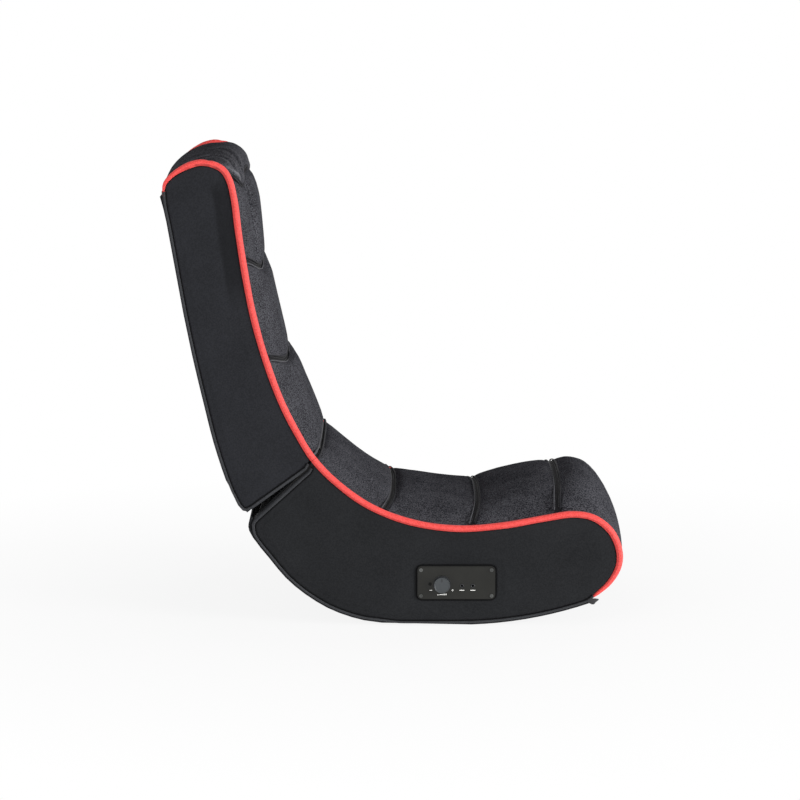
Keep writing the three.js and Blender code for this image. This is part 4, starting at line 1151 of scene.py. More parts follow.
def seam_bow(along: np.ndarray, y: np.ndarray) -> np.ndarray:
    """Bows the seams: each runs further down in the middle than at the cords.

    Args:
        along: Distances along the edge.
        y: Distances from the middle plane.

    Returns:
        How far each place moves along the edge.
    """
    side = np.abs(y) / SIZES.pad_edge
    shift = np.zeros(len(along))
    for seam, bow, power in SIZES.bows:
        near = np.clip(1 - np.abs(along - seam * RIM.length) / SIZES.bow_reach, 0, 1)
        shift += bow * ease(near) * (1 - side**power)
    near = np.clip(1 - np.abs(along - SIZES.shoulder * RIM.length) / SIZES.lean_reach, 0, 1)
    return shift + ease(near) * np.interp(np.abs(y), *zip(*SIZES.lean))


def bend_at_fold(piece: Piece, reach: float = SIZES.fold_reach) -> None:
    """Bakes a piece's place into its mesh; it does not bend it at the fold.

    Args:
        piece: The piece.
        reach: How far from the fold a bend would start; the points worked out from it are not used.
    """
    fold = SIZES.fold * RIM.length
    start, end = RIM.at(fold - reach), RIM.at(fold + reach)
    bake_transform(piece)


def fasten(piece: Piece, body: Body, bends: bool) -> None:
    """Makes a soft piece ride on its body, or, when it lies across the fold, only bakes its place into its
    mesh.

    Args:
        piece: The piece.
        body: Its body.
        bends: Says that it lies across the fold.
    """
    if bends:
        bend_at_fold(piece)
    else:
        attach(piece, body.value)


class Stitches:
    """Rows of sewn thread, made from one stitch."""

    def __init__(self, length: float = 0.0031, radius: float = 0.00042, pitch: float = 0.0046) -> None:
        """Models the one stitch.

        Args:
            length: A stitch's length.
            radius: The thread's radius.
            pitch: From one stitch to the next.
        """
        self.pitch = pitch
        pattern = Bench.add(
            bpy.ops.mesh.primitive_cylinder_add, "stitch_pattern",
            vertices=6, radius=radius, depth=length * 0.6,
        )
        Bench.edit(pattern)
        for side in (1, -1):
            Bench.pick(pattern, lambda face, side=side: face.normal.z * side > 0.9)
            bpy.ops.mesh.extrude_region_move(
                TRANSFORM_OT_translate={"value": (-radius * 0.5, 0, side * length * 0.2)},
            )
            bpy.ops.transform.resize(value=(0.5, 0.5, 0.5))
        Bench.done(pattern)
        self.points = Bench.points(pattern)
        self.faces = [tuple(face.vertices) for face in pattern.data.polygons]
        bpy.data.objects.remove(pattern)

    def row(
        self, name: str, paths: Iterable[np.ndarray], normals: Iterable[np.ndarray], finish: Finish,
    ) -> Piece:
        """Sews rows along paths.

        Args:
            name: The piece's name.
            paths: Points along each row.
            normals: The cloth's normal at each of these points.
            finish: The thread's finish.

        Returns:
            All stitches as one piece.
        """
        points, faces = [], []
        for path, normal in zip(paths, normals):
            distance = travel(path)
            for place in np.arange(self.pitch, distance[-1] - self.pitch, self.pitch):
                middle, ahead, out = (
                    np.array([np.interp(place + step, distance, source[:, i]) for i in range(3)])
                    for source, step in ((path, 0.0), (path, 0.0005), (normal, 0.0))
                )
                along = (ahead - middle) / np.linalg.norm(ahead - middle)
                side = np.cross(along, out)
                side /= np.linalg.norm(side)
                turned = np.column_stack([np.cross(side, along), side, along])
                count = sum(len(p) for p in points)
                points.append(middle + self.points @ turned.T)
                faces.extend(tuple(i + count for i in face) for face in self.faces)
        mesh = bpy.data.meshes.new(name)
        mesh.from_pydata(np.vstack(points).tolist(), [], faces)
        piece = bpy.data.objects.new(name, mesh)
        bpy.context.scene.collection.objects.link(piece)
        Bench.smooth(piece, 60)
        return dress(piece, finish)


@dataclass
class Channel:
    """A sewn channel across the pads: a stitched tape in the groove, coloured near black as painted shade,
    and a rolled edge on each side, one of them with a painted highlight.
    """

    name: str
    share: float
    height: float
    body: Body
    width: float = 0.0096
    sag: float = 0.0006
    thickness: float = 0.0016
    thread_place: float = 0.24
    thread_lift: float = 0.0003
    end_gap: float = 0.004
    roll_end_gap: float = 0.003
    roll_place: float = 0.62
    bends: bool = False
    sunk: float = 0.0042
    roll: float = 0.0011
    # Which rolled edge gets the painted highlight: -1 upper, 1 lower, 0 neither
    highlight_side: int = -1

    def profile(self, y: np.ndarray, shift: float, lift: float) -> np.ndarray:
        """Gives points across the chair at the groove's bottom.

        Args:
            y: Distances from the middle plane.
            shift: Distance from the channel's own line.
            lift: Height over the tape's middle.

        Returns:
            The points, one row each.
        """
        along = np.full(len(y), self.share * RIM.length)
        full = SIZES.across(y) ** SIZES.groove_power
        height = (self.height - self.sunk * np.minimum(full * 2, 1)) * full + lift
        return RIM.place(along + shift + seam_bow(along, y), y, height)

    def build(self, stitches: Stitches) -> None:
        """Makes the tape, its two rows of stitches and its rolled edges.

        Args:
            stitches: The stitch to sew with.
        """
        tape = Bench.add(
            bpy.ops.mesh.primitive_grid_add, self.name + "_tape",
            x_subdivisions=90, y_subdivisions=6, size=1.0,
        )
        flat = Bench.points(tape)
        y = flat[:, 0] * 2 * SIZES.pad_edge
        Bench.move(tape, self.profile(y, flat[:, 1] * self.width, -self.sag * (1 - (2 * flat[:, 1]) ** 2)))
        Bench.edit(tape)
        Bench.done(tape)
        up = RIM.at(self.share * RIM.length, 0, 1) - RIM.at(self.share * RIM.length, 0, 0)
        face = tape.data.polygons[len(tape.data.polygons) // 2]
        side = -1.0 if face.normal.dot(up) > 0 else 1.0
        Bench.apply(tape, "SOLIDIFY", thickness=self.thickness, offset=side)
        Bench.smooth(tape, 50)
        dress(tape, FINISHES.channel)
        across = np.linspace(self.end_gap - SIZES.pad_edge, SIZES.pad_edge - self.end_gap, 160)
        shifts = [side * self.width * self.thread_place for side in (-1, 1)]
        paths = [self.profile(across, shift, self.thread_lift) for shift in shifts]
        normal = np.tile(np.array(up.normalized()), (len(across), 1))
        sewn = stitches.row(self.name + "_stitching", paths, [normal, normal], FINISHES.thread)
        for piece in (tape, sewn, self._rolled(-1), self._rolled(1)):
            fasten(piece, self.body, self.bends)
        LOG.info("%s: tape, stitching and rolled edges", self.name)

    def _rolled(self, side: int) -> Piece:
        """Makes the rolled cloth edge on one side of the groove, coloured with a painted highlight on the
        highlight side and with painted shade otherwise.

        Args:
            side: -1 towards the head, 1 towards the nose.

        Returns:
            The edge.
        """
        which = "upper" if side < 0 else "lower"
        edge, turn, share = Bench.sleeve(f"{self.name}_{which}_edge", 10, 150)
        y = (share - 0.5) * 2 * (SIZES.pad_edge - self.roll_end_gap)
        radius = self.roll * (1 + 0.1 * np.sin(y * 2 * math.pi / SIZES.seam_pull))
        lift = np.sin(turn) * radius + self.sunk * self.roll_place
        shift = side * (self.width / 2 - 0.0002) + np.cos(turn) * radius
        Bench.move(edge, self.profile(y, shift, lift * np.minimum(SIZES.across(y) * 2, 1)))
        Bench.close(edge, 60)
        # Painted highlight on one side's edge, painted shade on the other
        return dress(edge, FINISHES.rolled_highlight if side == self.highlight_side else FINISHES.rolled_shade)


class Cushions:
    """All pads of back and seat with the channels between them."""

    def __init__(self) -> None:
        """Lists the pads and channels."""
        sizes, pillow = SIZES, SIZES.pillow_half_width
        seams = (
            0.0, sizes.shoulder, sizes.upper_seam, sizes.lower_seam, sizes.fold, sizes.seat_rear_seam,
            sizes.seat_middle_seam, sizes.seat_front_seam, 1.0,
        )
        deep = (None, 0.0165, 0.0185, 0.0215, 0.0150, 0.0192, 0.0262, 0.0382, None)
        folds = (
            Pleat((
                (0.1180, -0.1980), (0.1300, -0.1900), (0.1375, -0.1790), (0.1455, -0.1640), (0.1490, -0.1560),
            ), 0.0042, 0.0030),
            Pleat((
                (0.0598, -0.1900), (0.0804, -0.1500), (0.0997, -0.1300), (0.1183, -0.1446), (0.1300, -0.1600),
            ), 0.0014, 0.0045),
            Pleat((
                (0.0847, -0.0700), (0.1053, -0.0600), (0.1219, -0.0887), (0.1370, -0.1150),
            ), 0.0012, 0.0050),
        )
        head = {"draw": 0.014, "voxel": 0.0046, "gap": (0.0014, 0.0046)}
        rows: tuple[tuple[str, int, dict], ...] = (
            ("top_roll", 0, {
                "dome": True, "seed": 0.4, "swell": 0.005, "voxel": 0.0044, "pleats": folds,
                "gap": (0.0046, 0.0014),
            }),
            ("speaker_pod_right", 1, {"high": -pillow, "seed": 1.1, **head}),
            ("head_pillow", 1, {"low": -pillow, "high": pillow, "seed": 1.9, **head}),
            ("speaker_pod_left", 1, {"low": pillow, "seed": 2.3, **head}),
            ("upper_back_pad", 2, {"seed": 2.9, "full": (0.96, 1.0)}),
            ("lumbar_pad", 3, {"bends": True, "seed": 3.6, "full": (0.94, 0.94)}),
            ("seat_rear_pad", 4, {"bends": True, "seed": 4.2, "full": (0.86, 0.87)}),
            ("seat_middle_pad", 5, {"seed": 5.1, "full": (0.87, 0.87)}),
            ("seat_front_pad", 6, {"seed": 5.8, "full": (0.86, 1.0)}),
            ("nose_pad", 7, {"seed": 6.4}),
        )
        self.pads = [
            Pad(
                node, Body.BACK if i < 4 else Body.SEAT, seams[i], seams[i + 1],
                FINISHES.back_pad if i < 4 else FINISHES.seat_pad,
                start_depth=deep[i], end_depth=deep[i + 1], **more,
            )
            for node, i, more in rows
        ]
        channels: tuple[tuple[str, dict], ...] = (
            ("shoulder", {"highlight_side": 0, "roll": 0.0005, "width": 0.0030}),
            ("upper", {"highlight_side": 1}), ("lower", {"highlight_side": 1}),
            ("fold", {"bends": True, "roll": 0.0021}),
            ("seat_rear", {}), ("seat_middle", {}), ("seat_front", {}),
        )
        self.channels = [
            Channel(f"{name}_channel", seams[i], deep[i], Body.BACK if i < 4 else Body.SEAT, **more)
            for i, (name, more) in enumerate(channels, 1)
        ]

    def build(self) -> None:
        """Makes the pads, then the channels over them."""
        for pad in self.pads:
            pad.build()
        stitches = Stitches()
        for channel in self.channels:
            channel.build(stitches)


@dataclass
class CordedEdge:
    """One side's red cord, gathered where it is sewn round the head."""

    side: int
    name: str
    radius: float = SIZES.piping_radius
    ring: int = 32
    step: float = 0.0026
    overrun: float = 0.006
    cut: float = 0.0003
    bend_reach: float = 0.02
    gather_place: float = 0.095
    gather_reach: float = 0.05
    gather_pitch: float = 0.0098
    gather_depth: float = 0.3
    notch_place: float = 0.0945
    notch_width: float = 0.0032
    notch_depth: float = 0.3
    seam_depth: float = 0.2

    def build(self) -> None:
        """Makes the cord of the back and of the seat."""
        fold = SIZES.fold * RIM.length
        spans = (("back", -self.overrun, fold - self.cut), ("seat", fold + self.cut, RIM.length))
        for part, start, end in spans:
            cord = self._tube(f"{part}_cord_{self.name}", start, end)
            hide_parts(f"{part}_piping_{self.name}")
            bend_at_fold(cord, self.bend_reach)
            LOG.info("%s", cord.name)

    def _tube(self, name: str, start: float, end: float) -> Piece:
        """Sweeps the cord's round section along the edge.

        Args:
            name: The piece's name.
            start: Where it starts along the edge.
            end: Where it ends.

        Returns:
            The cord.
        """
        cord, turn, share = Bench.sleeve(name, self.ring, int((end - start) / self.step))
        along = start + share * (end - start)
        size = self.radius * self._pull(along, turn)
        taper = self._taper(along)
        y = self.side * (SIZES.half_width - (1 - np.cos(turn) * taper) * size - (1 - taper) * 0.0012)
        height = (np.sin(turn) * taper - (1 - taper) * 0.95) * size
        points = RIM.place(along, y, height)
        ahead = RIM.at(0.001) - RIM.at(0.0)
        points += np.minimum(along, 0)[:, None] * np.array(ahead.normalized())
        Bench.move(cord, points)
        # Painted shade on the cord's sewn crease and in the pinches of its gathers
        pinch_shade = self._gathers(along) ** 3 * np.clip(0.1 - np.sin(turn), 0, 1)
        pinch_shade *= np.clip(np.cos(turn) + 0.3, 0, 1)
        Bench.paint_light_shade(cord, -0.3 * self._crease(turn, 0.6, 0.16) - 0.7 * pinch_shade)
        Bench.close(cord, 60)
        return dress(cord, FINISHES.piping)

    @staticmethod
    def _crease(turn: np.ndarray, place: float, width: float) -> np.ndarray:
        """Gives 1 on the sewn crease along the cord and 0 beside it."""
        return bell(np.arctan2(np.sin(turn + place), np.cos(turn + place)), width)

    def _gathers(self, along: np.ndarray) -> np.ndarray:
        """Gives how hard the sewing pinches the cord, which it does round the head's shoulder."""
        zone = np.exp(-(((along - self.gather_place) / self.gather_reach) ** 4))
        return zone * np.abs(np.sin(along * math.pi / self.gather_pitch + 1.9 * np.sin(along * 140)))

    @staticmethod
    def _taper(along: np.ndarray) -> np.ndarray:
        """Gives the cord's share of its radius, which thins out behind the head and under the nose."""
        head = np.interp(along, (-0.006, 0.0, 0.015, 0.04, 0.065), (0.12, 0.36, 0.54, 0.72, 1.0))
        return head * np.interp(RIM.length - along, (0.0, 0.01, 0.03, 0.085), (0.3, 0.55, 0.72, 1.0))

    def _pull(self, along: np.ndarray, turn: np.ndarray) -> np.ndarray:
        """Gives the cord's share of its full radius, less where sewing gathers or presses it.

        Args:
            along: Distances along the edge.
            turn: Each vertex's turn round the cord.

        Returns:
            The shares.
        """
        low = np.clip(0.35 - np.sin(turn), 0, 1)
        gather = self.gather_depth * self._gathers(along) * np.clip(1.6 * np.cos(turn), 0, 1)
        notch = self.notch_depth * bell(along - self.notch_place, self.notch_width)
        notch *= np.clip(np.sin(turn), 0, 1)
        seam = self.seam_depth * self._crease(turn, 0.55, 0.22)
        slow = 0.02 * np.sin(along * 2 * math.pi / 0.083 + self.side)
        return 1 - gather * low - notch - seam + slow


@dataclass
class SideCover:
    """A padded cloth panel on one side of the back or the seat."""

    node: str
    body: Body
    side: int
    finish: Finish
    voxel: float = 0.0026
    edge: float = 0.0035
    border: float = 0.0105
    step: float = 0.003
    sink: float = 0.0013
    ripple: float = 0.0005
    crease: float = 0.0012
    crease_depth: float = 0.8
    border_depth: float = 0.75
    spacing: float = 0.002
    shade_span: tuple[float, float] = (0.13, 0.345)
    shade_fade: tuple[float, float] = (0.03, 0.05)
    shade_height: float = -0.0335
    shade_edge: float = 0.004
    shade: float = 0.5
    outline: np.ndarray | None = None

    def build(self) -> None:
        """Makes the cover from its solid: a rounded edge, a sunk border and a soft field."""
        piece = Bench.copy_node(self.node, self.node + "_cloth")
        edges = self._outline(piece)
        piece.data.remesh_voxel_size = self.voxel
        Bench.only(piece)
        bpy.ops.object.voxel_remesh()
        points = Bench.points(piece)
        outer = points[:, 1] * self.side
        deep = np.clip((outer - outer.min()) / (outer.max() - outer.min()), 0, 1)
        inside = self._inside(points, edges)
        drop = self.sink * np.clip(1 - inside / self.edge, 0, 1) ** 2
        crease = np.clip(1 - (inside - self.edge) / self.crease, 0, 1) * (inside > self.edge)
        drop += self.sink * self.crease_depth * crease
        hem = 1 - np.clip((inside - self.border) / self.step, 0, 1)
        drop += self.sink * self.border_depth * ease(hem)
        drop += self.ripple * (1 - hem) * self._ripple(points)
        points[:, 1] -= drop * deep**3 * self.side
        Bench.move(piece, points)
        # Painted shade in a strip beside the back's cord
        Bench.paint_light_shade(piece, self._shadow(points))
        Bench.smooth(piece, 60)
        mount(piece, self.finish, self.body, self.node)

    def _shadow(self, points: np.ndarray) -> np.ndarray:
        """Gives the painted shade of a darker strip beside the back's cord, where the cloth turns in.

        Args:
            points: The cover's vertices.

        Returns:
            How much painted shade each gets, as 0 or less.
        """
        along, height = RIM.read(points)
        start = np.clip((along - self.shade_span[0]) / self.shade_fade[0], 0, 1)
        end = np.clip((self.shade_span[1] - along) / self.shade_fade[1], 0, 1)
        wide = np.clip((height - self.shade_height) / self.shade_edge, 0, 1)
        return -self.shade * start * end * wide

    def _outline(self, piece: Piece) -> np.ndarray:
        """Reads the outer face's edges and keeps the longest as the outline.

        Args:
            piece: The copy of the solid.

        Returns:
            Points close together along all edges, in the side plane.
        """
        mesh = piece.data
        count: dict[tuple[int, int], int] = {}
        for face in mesh.polygons:
            if face.normal.y * self.side > 0.99:
                for key in face.edge_keys:
                    count[key] = count.get(key, 0) + 1
        follow: dict[int, list[int]] = {}
        for a, b in (key for key, times in count.items() if times == 1):
            follow.setdefault(a, []).append(b)
            follow.setdefault(b, []).append(a)
        loops = []
        while follow:
            loop = [min(follow)]
            while True:
                ahead = [i for i in follow.pop(loop[-1], []) if len(loop) < 2 or i != loop[-2]]
                if not ahead or ahead[0] == loop[0]:
                    break
                loop.append(ahead[0])
            corners = np.array([mesh.vertices[i].co for i in (*loop, loop[0])])[:, [0, 2]]
            length = travel(corners)[-1]
            loops.append(spaced(corners, np.linspace(0, length, int(length / self.spacing))))
        loops.sort(key=len, reverse=True)
        self.outline = loops[0]
        return np.vstack(loops)

    @staticmethod
    def _inside(points: np.ndarray, outline: np.ndarray) -> np.ndarray:
        """Gives each point's distance from the outline.

        Args:
            points: The cover's vertices.
            outline: The outline's points.

        Returns:
            The distances.
        """
        parts = np.array_split(points[:, [0, 2]], max(1, len(points) // 1000))
        return np.concatenate([np.sqrt(gaps(part, outline).min(axis=1)) for part in parts])

    @staticmethod
    def _ripple(points: np.ndarray) -> np.ndarray:
        """Gives slow waves of loosely stretched cloth."""
        x, z = points[:, 0], points[:, 2]
        return 0.5 + 0.3 * np.sin(21 * x + 13 * z) + 0.2 * np.sin(37 * z - 17 * x + 1.3)


@dataclass
class EdgeTape:
    """Folded tape over the edge of a side cover, from the cord's rear end round to the other."""

    node: str
    body: Body
    side: int
    cover: SideCover
    other: SideCover
    lip: float = 0.0006
    thick: float = 0.0009
    reach: float = 0.0048
    fold_reach: float = 0.0061
    seam: float = 0.0009
    seam_inset: float = 0.0008
    seam_place: float = 0.0024
    inner: float = 0.1893
    step: float = 0.004
    cord_below: float = 0.0105
    cord_end: float = 0.004
    least: float = 0.0003

    def build(self) -> None:
        """Makes the tape along the cover's outline."""
        path = self._path()
        length = travel(path)[-1]
        count = int(length / self.step)
        path = spaced(path, np.linspace(0, length, count))
        tape, turn, share = Bench.sleeve(self.node + "_tape", 10, count - 2)
        corner = np.round(turn / (2 * math.pi) * 10).astype(int) % 10
        station = np.round(share * (count - 1)).astype(int)
        along = np.gradient(path, axis=0)
        along /= np.linalg.norm(along, axis=1)[:, None]
        out = np.column_stack([along[:, 1], -along[:, 0]])
        middle = self.cover.outline.mean(0)
        outer, inner = (((path + side * out * 0.004 - middle) ** 2).sum(1) for side in (1, -1))
        out *= np.sign(np.median(outer - inner))
        reach = self._reach(path)[station]
        section = self._section(reach)
        stands, wide = section[corner, np.arange(len(corner))].T
        flat = path[station] + out[station] * stands[:, None]
        y = self.side * wide
        Bench.move(tape, REST_CORNER.soften(np.column_stack([flat[:, 0], y, flat[:, 1]])))
        Bench.close(tape, 45)
        mount(tape, FINISHES.binding, self.body, self.node)
        # Painted shadow: a near-black thread sunk along the tape's inner edge
        thread, turn, share = Bench.sleeve(self.node + "_seam", 8, count - 2)
        station = np.round(share * (count - 1)).astype(int)
        stands = np.cos(turn) * self.seam - self.lip - self.seam_inset
        flat = path[station] + out[station] * stands[:, None]
        y = self.side * (SIZES.half_width - self.seam_place + np.sin(turn) * self.seam * 0.8)
        Bench.move(thread, REST_CORNER.soften(np.column_stack([flat[:, 0], y, flat[:, 1]])))
        Bench.close(thread, 60)
        mount(thread, FINISHES.seam_shadow, self.body)

    def _path(self) -> np.ndarray:
        """Gives the outline without its corded part.

        Returns:
            Points in order, in the side plane.
        """
        loop = self.cover.outline[:-1]
        places = np.column_stack([loop[:, 0], np.zeros(len(loop)), loop[:, 1]])
        along, height = RIM.read(places)
        corded = (height > -self.cord_below) & (along > self.cord_end)
        corded &= along < RIM.length - self.cord_end
        start = int(np.flatnonzero(corded & ~np.roll(corded, -1))[-1])
        turned = np.roll(loop, -start - 1, axis=0)
        free = ~np.roll(corded, -start - 1)
        return turned[:int(np.argmin(free)) if not free.all() else len(turned)]

    def _reach(self, path: np.ndarray) -> np.ndarray:
        """Says how far the tape stands out at each point of its path.

        Args:
            path: The path's points.

        Returns:
            The distances.
        """
        gap = np.sqrt(gaps(path, self.other.outline).min(axis=1))
        near = np.clip((0.05 - gap) / 0.02, 0, 1)
        wide = self.reach + (self.fold_reach - self.reach) * near
        wide = np.minimum(wide, np.maximum(gap / 2 - 0.0006, 0.0004))
        floor = np.where(path[:, 1] < 0.02, path[:, 1] - 0.0006, 1.0)
        return np.maximum(np.minimum(wide, floor), self.least)

    def _section(self, reach: np.ndarray) -> np.ndarray:
        """Gives the tape's folded section.

        Args:
            reach: How far it stands out, for each vertex.

        Returns:
            For each of ten corners and each vertex, its distance outwards and its width place.
        """
        face = SIZES.half_width - 0.0022
        top = face + self.thick
        none = np.zeros_like(reach)
        corners = (
            (none - self.lip, none + face - 0.0004), (none - self.lip + 0.0004, none + top - 0.0003),
            (none + reach * 0.1, none + top + 0.0003), (none + reach * 0.36, none + top + 0.0005),
            (reach * 0.68, none + top - 0.0010), (reach, none + top - 0.0046),
            (reach, none + (top + self.inner) / 2), (reach, none + self.inner),
            (none - 0.0004, none + self.inner), (none - 0.0004, none + face - 0.0004),
        )
        return np.array([np.column_stack(corner) for corner in corners])


@dataclass
class ClothSheet:
    """Cloth that lies on a board: its solid with rounded edges."""

    node: str
    body: Body
    finish: Finish
    edge: float = 0.0009
    end: float = 0.003
    hem: tuple[float, float] = (0.0, 0.0)

    def build(self) -> None:
        """Makes the sheet from its solid, with its lower end drawn over the rail below."""
        piece = Bench.copy_node(self.node, self.node + "_cloth")
        Bench.edit(piece, action="SELECT")
        bpy.ops.mesh.dissolve_limited(angle_limit=math.radians(1))
        Bench.done(piece)
        points = Bench.points(piece)
        points[points[:, 2] < points[:, 2].min() + self.end] += (self.hem[0], 0, self.hem[1])
        Bench.move(piece, points)
        Bench.round_edges(piece, self.edge, 3, 60)
        if self.body is Body.SEAT:
            Bench.move(piece, REST_CORNER.soften(Bench.points(piece)))
        Bench.smooth(piece, 40)
        mount(piece, self.finish, self.body, self.node)


OUTWARDS = (math.pi / 2, 0, 0)


@dataclass
class SmallTrim:
    """The tape's loose ends: a loop behind the head and a folded tab under the nose."""

    side: int
    name: str
    loop_place: tuple[float, float, float] = (-0.3616, 0.2085, 0.6728)
    tab_place: tuple[float, float, float] = (0.3075, 0.2115, 0.0398)

    def build(self) -> None:
        """Makes the loop and the tab."""
        x, y, z = self.loop_place
        middle = (x, self.side * y, z)
        loop = Bench.add(
            bpy.ops.mesh.primitive_torus_add, f"tape_loop_{self.name}", major_radius=0.0058,
            minor_radius=0.0017, major_segments=36, minor_segments=10, location=middle, rotation=OUTWARDS,
        )
        Bench.edit(loop, action="SELECT")
        bpy.ops.transform.resize(value=(0.3, 1.8, 2.1), center_override=middle)
        Bench.done(loop)
        points = Bench.points(loop)
        points[:, 0] += (z - points[:, 2]) * 0.22
        Bench.move(loop, points)
        Bench.smooth(loop, 45)
        mount(loop, FINISHES.thread, Body.BACK)
        x, y, z = self.tab_place
        tab = Bench.add(
            bpy.ops.mesh.primitive_cube_add, f"tape_tab_{self.name}", size=1.0,
            location=(x, self.side * y, z), scale=(0.0125, 0.0034, 0.006),
        )
        Bench.edit(tab)
        Bench.pick(tab, lambda face: face.normal.x > 0.9)
        bpy.ops.mesh.extrude_region_move(TRANSFORM_OT_translate={"value": (0.005, 0, 0.0015)})
        bpy.ops.transform.resize(value=(1, 0.5, 0.25))
        Bench.pick(tab, lambda face: face.normal.z < -0.9)
        bpy.ops.mesh.extrude_region_move(TRANSFORM_OT_translate={"value": (0.002, 0, -0.0035)})
        bpy.ops.transform.resize(value=(0.3, 0.5, 1))
        Bench.done(tab)
        Bench.round_edges(tab, 0.0006, 2, 30)
        Bench.smooth(tab, 45)
        mount(tab, FINISHES.thread, Body.SEAT)


@dataclass
class AudioPanel:
    """The control panel's visible details: knob, rings, marks and sockets."""

    knob_radius: float = 0.0125
    ridges: int = 40
    mark: float = 0.0011
    relief: float = 0.0003
    levels: int = 7
    shadow_rim_lap: float = 0.0024
    shadow_rim_corner: float = 0.0105
    socket_half_pitch: float = 0.0086

    def __post_init__(self) -> None:
        """Reads the panel's place from its solid."""
        low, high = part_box("control_panel")
        self.face = low.y
        self.middle = (low + high) / 2
        low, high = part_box("volume_knob")
        self.knob_middle = (low + high) / 2
        self.knob_face = low.y
        self.knob_back = high.y

    def build(self) -> None:
        """Makes every detail."""
        self._shadow_rim()
        self._knob()
        self._collar()
        self._marks()
        for place in self._socket_places():
            self._socket_ring(place)

    def _shadow_rim(self) -> None:
        """Makes the near-black rim round the panel, a painted shadow of the gap round its edge."""
        low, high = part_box("control_panel")
        wide, tall = (size + 2 * self.shadow_rim_lap for size in (high.x - low.x, high.z - low.z))
        rim = self._bar(
            "panel_shadow_rim", self.middle.x, self.middle.z, wide, tall, -SIZES.half_width + 0.0028,
            0.0014, round_to=self.shadow_rim_corner,
        )
        mount(rim, FINISHES.panel_shadow, Body.SEAT)

    def _socket_places(self) -> list[tuple[float, float]]:
        """Returns the sockets' places on the panel's face."""
        low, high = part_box("audio_sockets")
        middle = (low + high) / 2
        return [(middle.x + side * self.socket_half_pitch, middle.z) for side in (-1, 1)]

    def _turned(
        self, name: str, x: float, z: float, back: float, radius: float, depth: float, sides: int,
    ) -> Piece:
        """Adds a round blank that points out of the panel.

        Args:
            name: Its name.
            x: Its place along the chair.
            z: Its height.
            back: Its back face's distance from the middle plane.
            radius: Its radius.
            depth: Its depth.
            sides: How many sides it has.

        Returns:
            The blank, with its place in its mesh.
        """
        return Bench.add(
            bpy.ops.mesh.primitive_cylinder_add, name, vertices=sides, radius=radius, depth=depth,
            location=(x, back - depth / 2, z), rotation=OUTWARDS,
        )

    def _knob(self) -> None:
        """Makes the ridged knob with a domed face and a pointer line."""
        x, z = self.knob_middle.x, self.knob_middle.z
        depth = self.knob_back - self.knob_face
        knob = self._turned("ridged_knob", x, z, self.knob_back, self.knob_radius, depth, self.ridges * 2)
        Bench.edit(knob)
        Bench.pick(knob, lambda face: abs(face.normal.y) < 0.1 and self._ridge(face.center, x, z))
        bpy.ops.mesh.inset(thickness=0.0002, use_individual=True)
        bpy.ops.transform.shrink_fatten(value=-0.0004)
        Bench.pick(knob, lambda face: face.normal.y < -0.9)
        bpy.ops.mesh.inset(thickness=0.0009, depth=0.0)
        bpy.ops.mesh.inset(thickness=0.0006, depth=-0.0005)
        bpy.ops.mesh.inset(thickness=0.0045, depth=0.0003)
        Bench.done(knob)
        Bench.round_edges(knob, 0.00025, 2, 50)
        Bench.smooth(knob, 35)
        mount(knob, FINISHES.knob, Body.KNOB, "volume_knob")
        back = self.knob_face + 0.0002
        pointer = self._bar("knob_pointer", x, z + 0.0078, 0.0009, 0.0052, back, 0.0004)
        mount(pointer, FINISHES.housing, Body.KNOB)

    def _ridge(self, place: Vector, x: float, z: float) -> bool:
        """Says whether a side face lies between two ridges."""
        angle = math.atan2(place.z - z, place.x - x) / (2 * math.pi) * self.ridges * 2
        return int(math.floor(angle)) % 2 == 0

    def _bar(
        self, name: str, x: float, z: float, wide: float, tall: float, back: float, depth: float,
        round_to: float = 0.0,
    ) -> Piece:
        """Adds a thin rounded bar on a face of the panel or the knob.

        Args:
            name: Its name.
            x: Its middle along the chair.
            z: Its middle height.
            wide: Its width.
            tall: Its height.
            back: Its back face's distance from the middle plane.
            depth: How far it stands out.
            round_to: Its corner radius, or 0 for round ends.

        Returns:
            The bar.
        """
        bar = Bench.add(
            bpy.ops.mesh.primitive_cube_add, name, size=1.0, location=(x, back - depth / 2, z),
            scale=(wide, depth, tall),
        )
        corner = round_to or min(wide, tall) * 0.45
        Bench.pick_edges(bar, 1, depth / 2)
        bpy.ops.mesh.bevel(offset=corner, segments=8 if round_to else 3)
        Bench.done(bar)
        Bench.smooth(bar, 40)
        return bar

    def _collar(self) -> None:
        """Makes the thin ring round the knob."""
        x, z = self.knob_middle.x, self.knob_middle.z
        back, radius = self.face + 0.0002, self.knob_radius + 0.0016
        ring = self._turned("knob_collar", x, z, back, radius, 0.0007, 48)
        Bench.edit(ring)
        Bench.pick(ring, lambda face: face.normal.y < -0.9)
        bpy.ops.mesh.inset(thickness=0.0014, depth=-0.0004)
        Bench.done(ring)
        Bench.round_edges(ring, 0.0002, 2, 50)
        Bench.smooth(ring, 40)
        mount(ring, FINISHES.housing, Body.SEAT)

    def _socket_ring(self, place: tuple[float, float]) -> None:
        """Makes the dark ring of one socket.

        Args:
            place: Its place along the chair and its height.
        """
        x, z = place
        side = "front" if x > sum(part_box("audio_sockets"), Vector()).x / 2 else "rear"
        ring = Bench.add(
            bpy.ops.mesh.primitive_torus_add, f"socket_ring_{side}", major_radius=0.0027,
            minor_radius=0.0006, major_segments=32, minor_segments=8,
            location=(x, self.face - 0.0001, z), rotation=OUTWARDS,
        )
        Bench.close(ring, 60)
        mount(ring, FINISHES.housing, Body.SEAT)

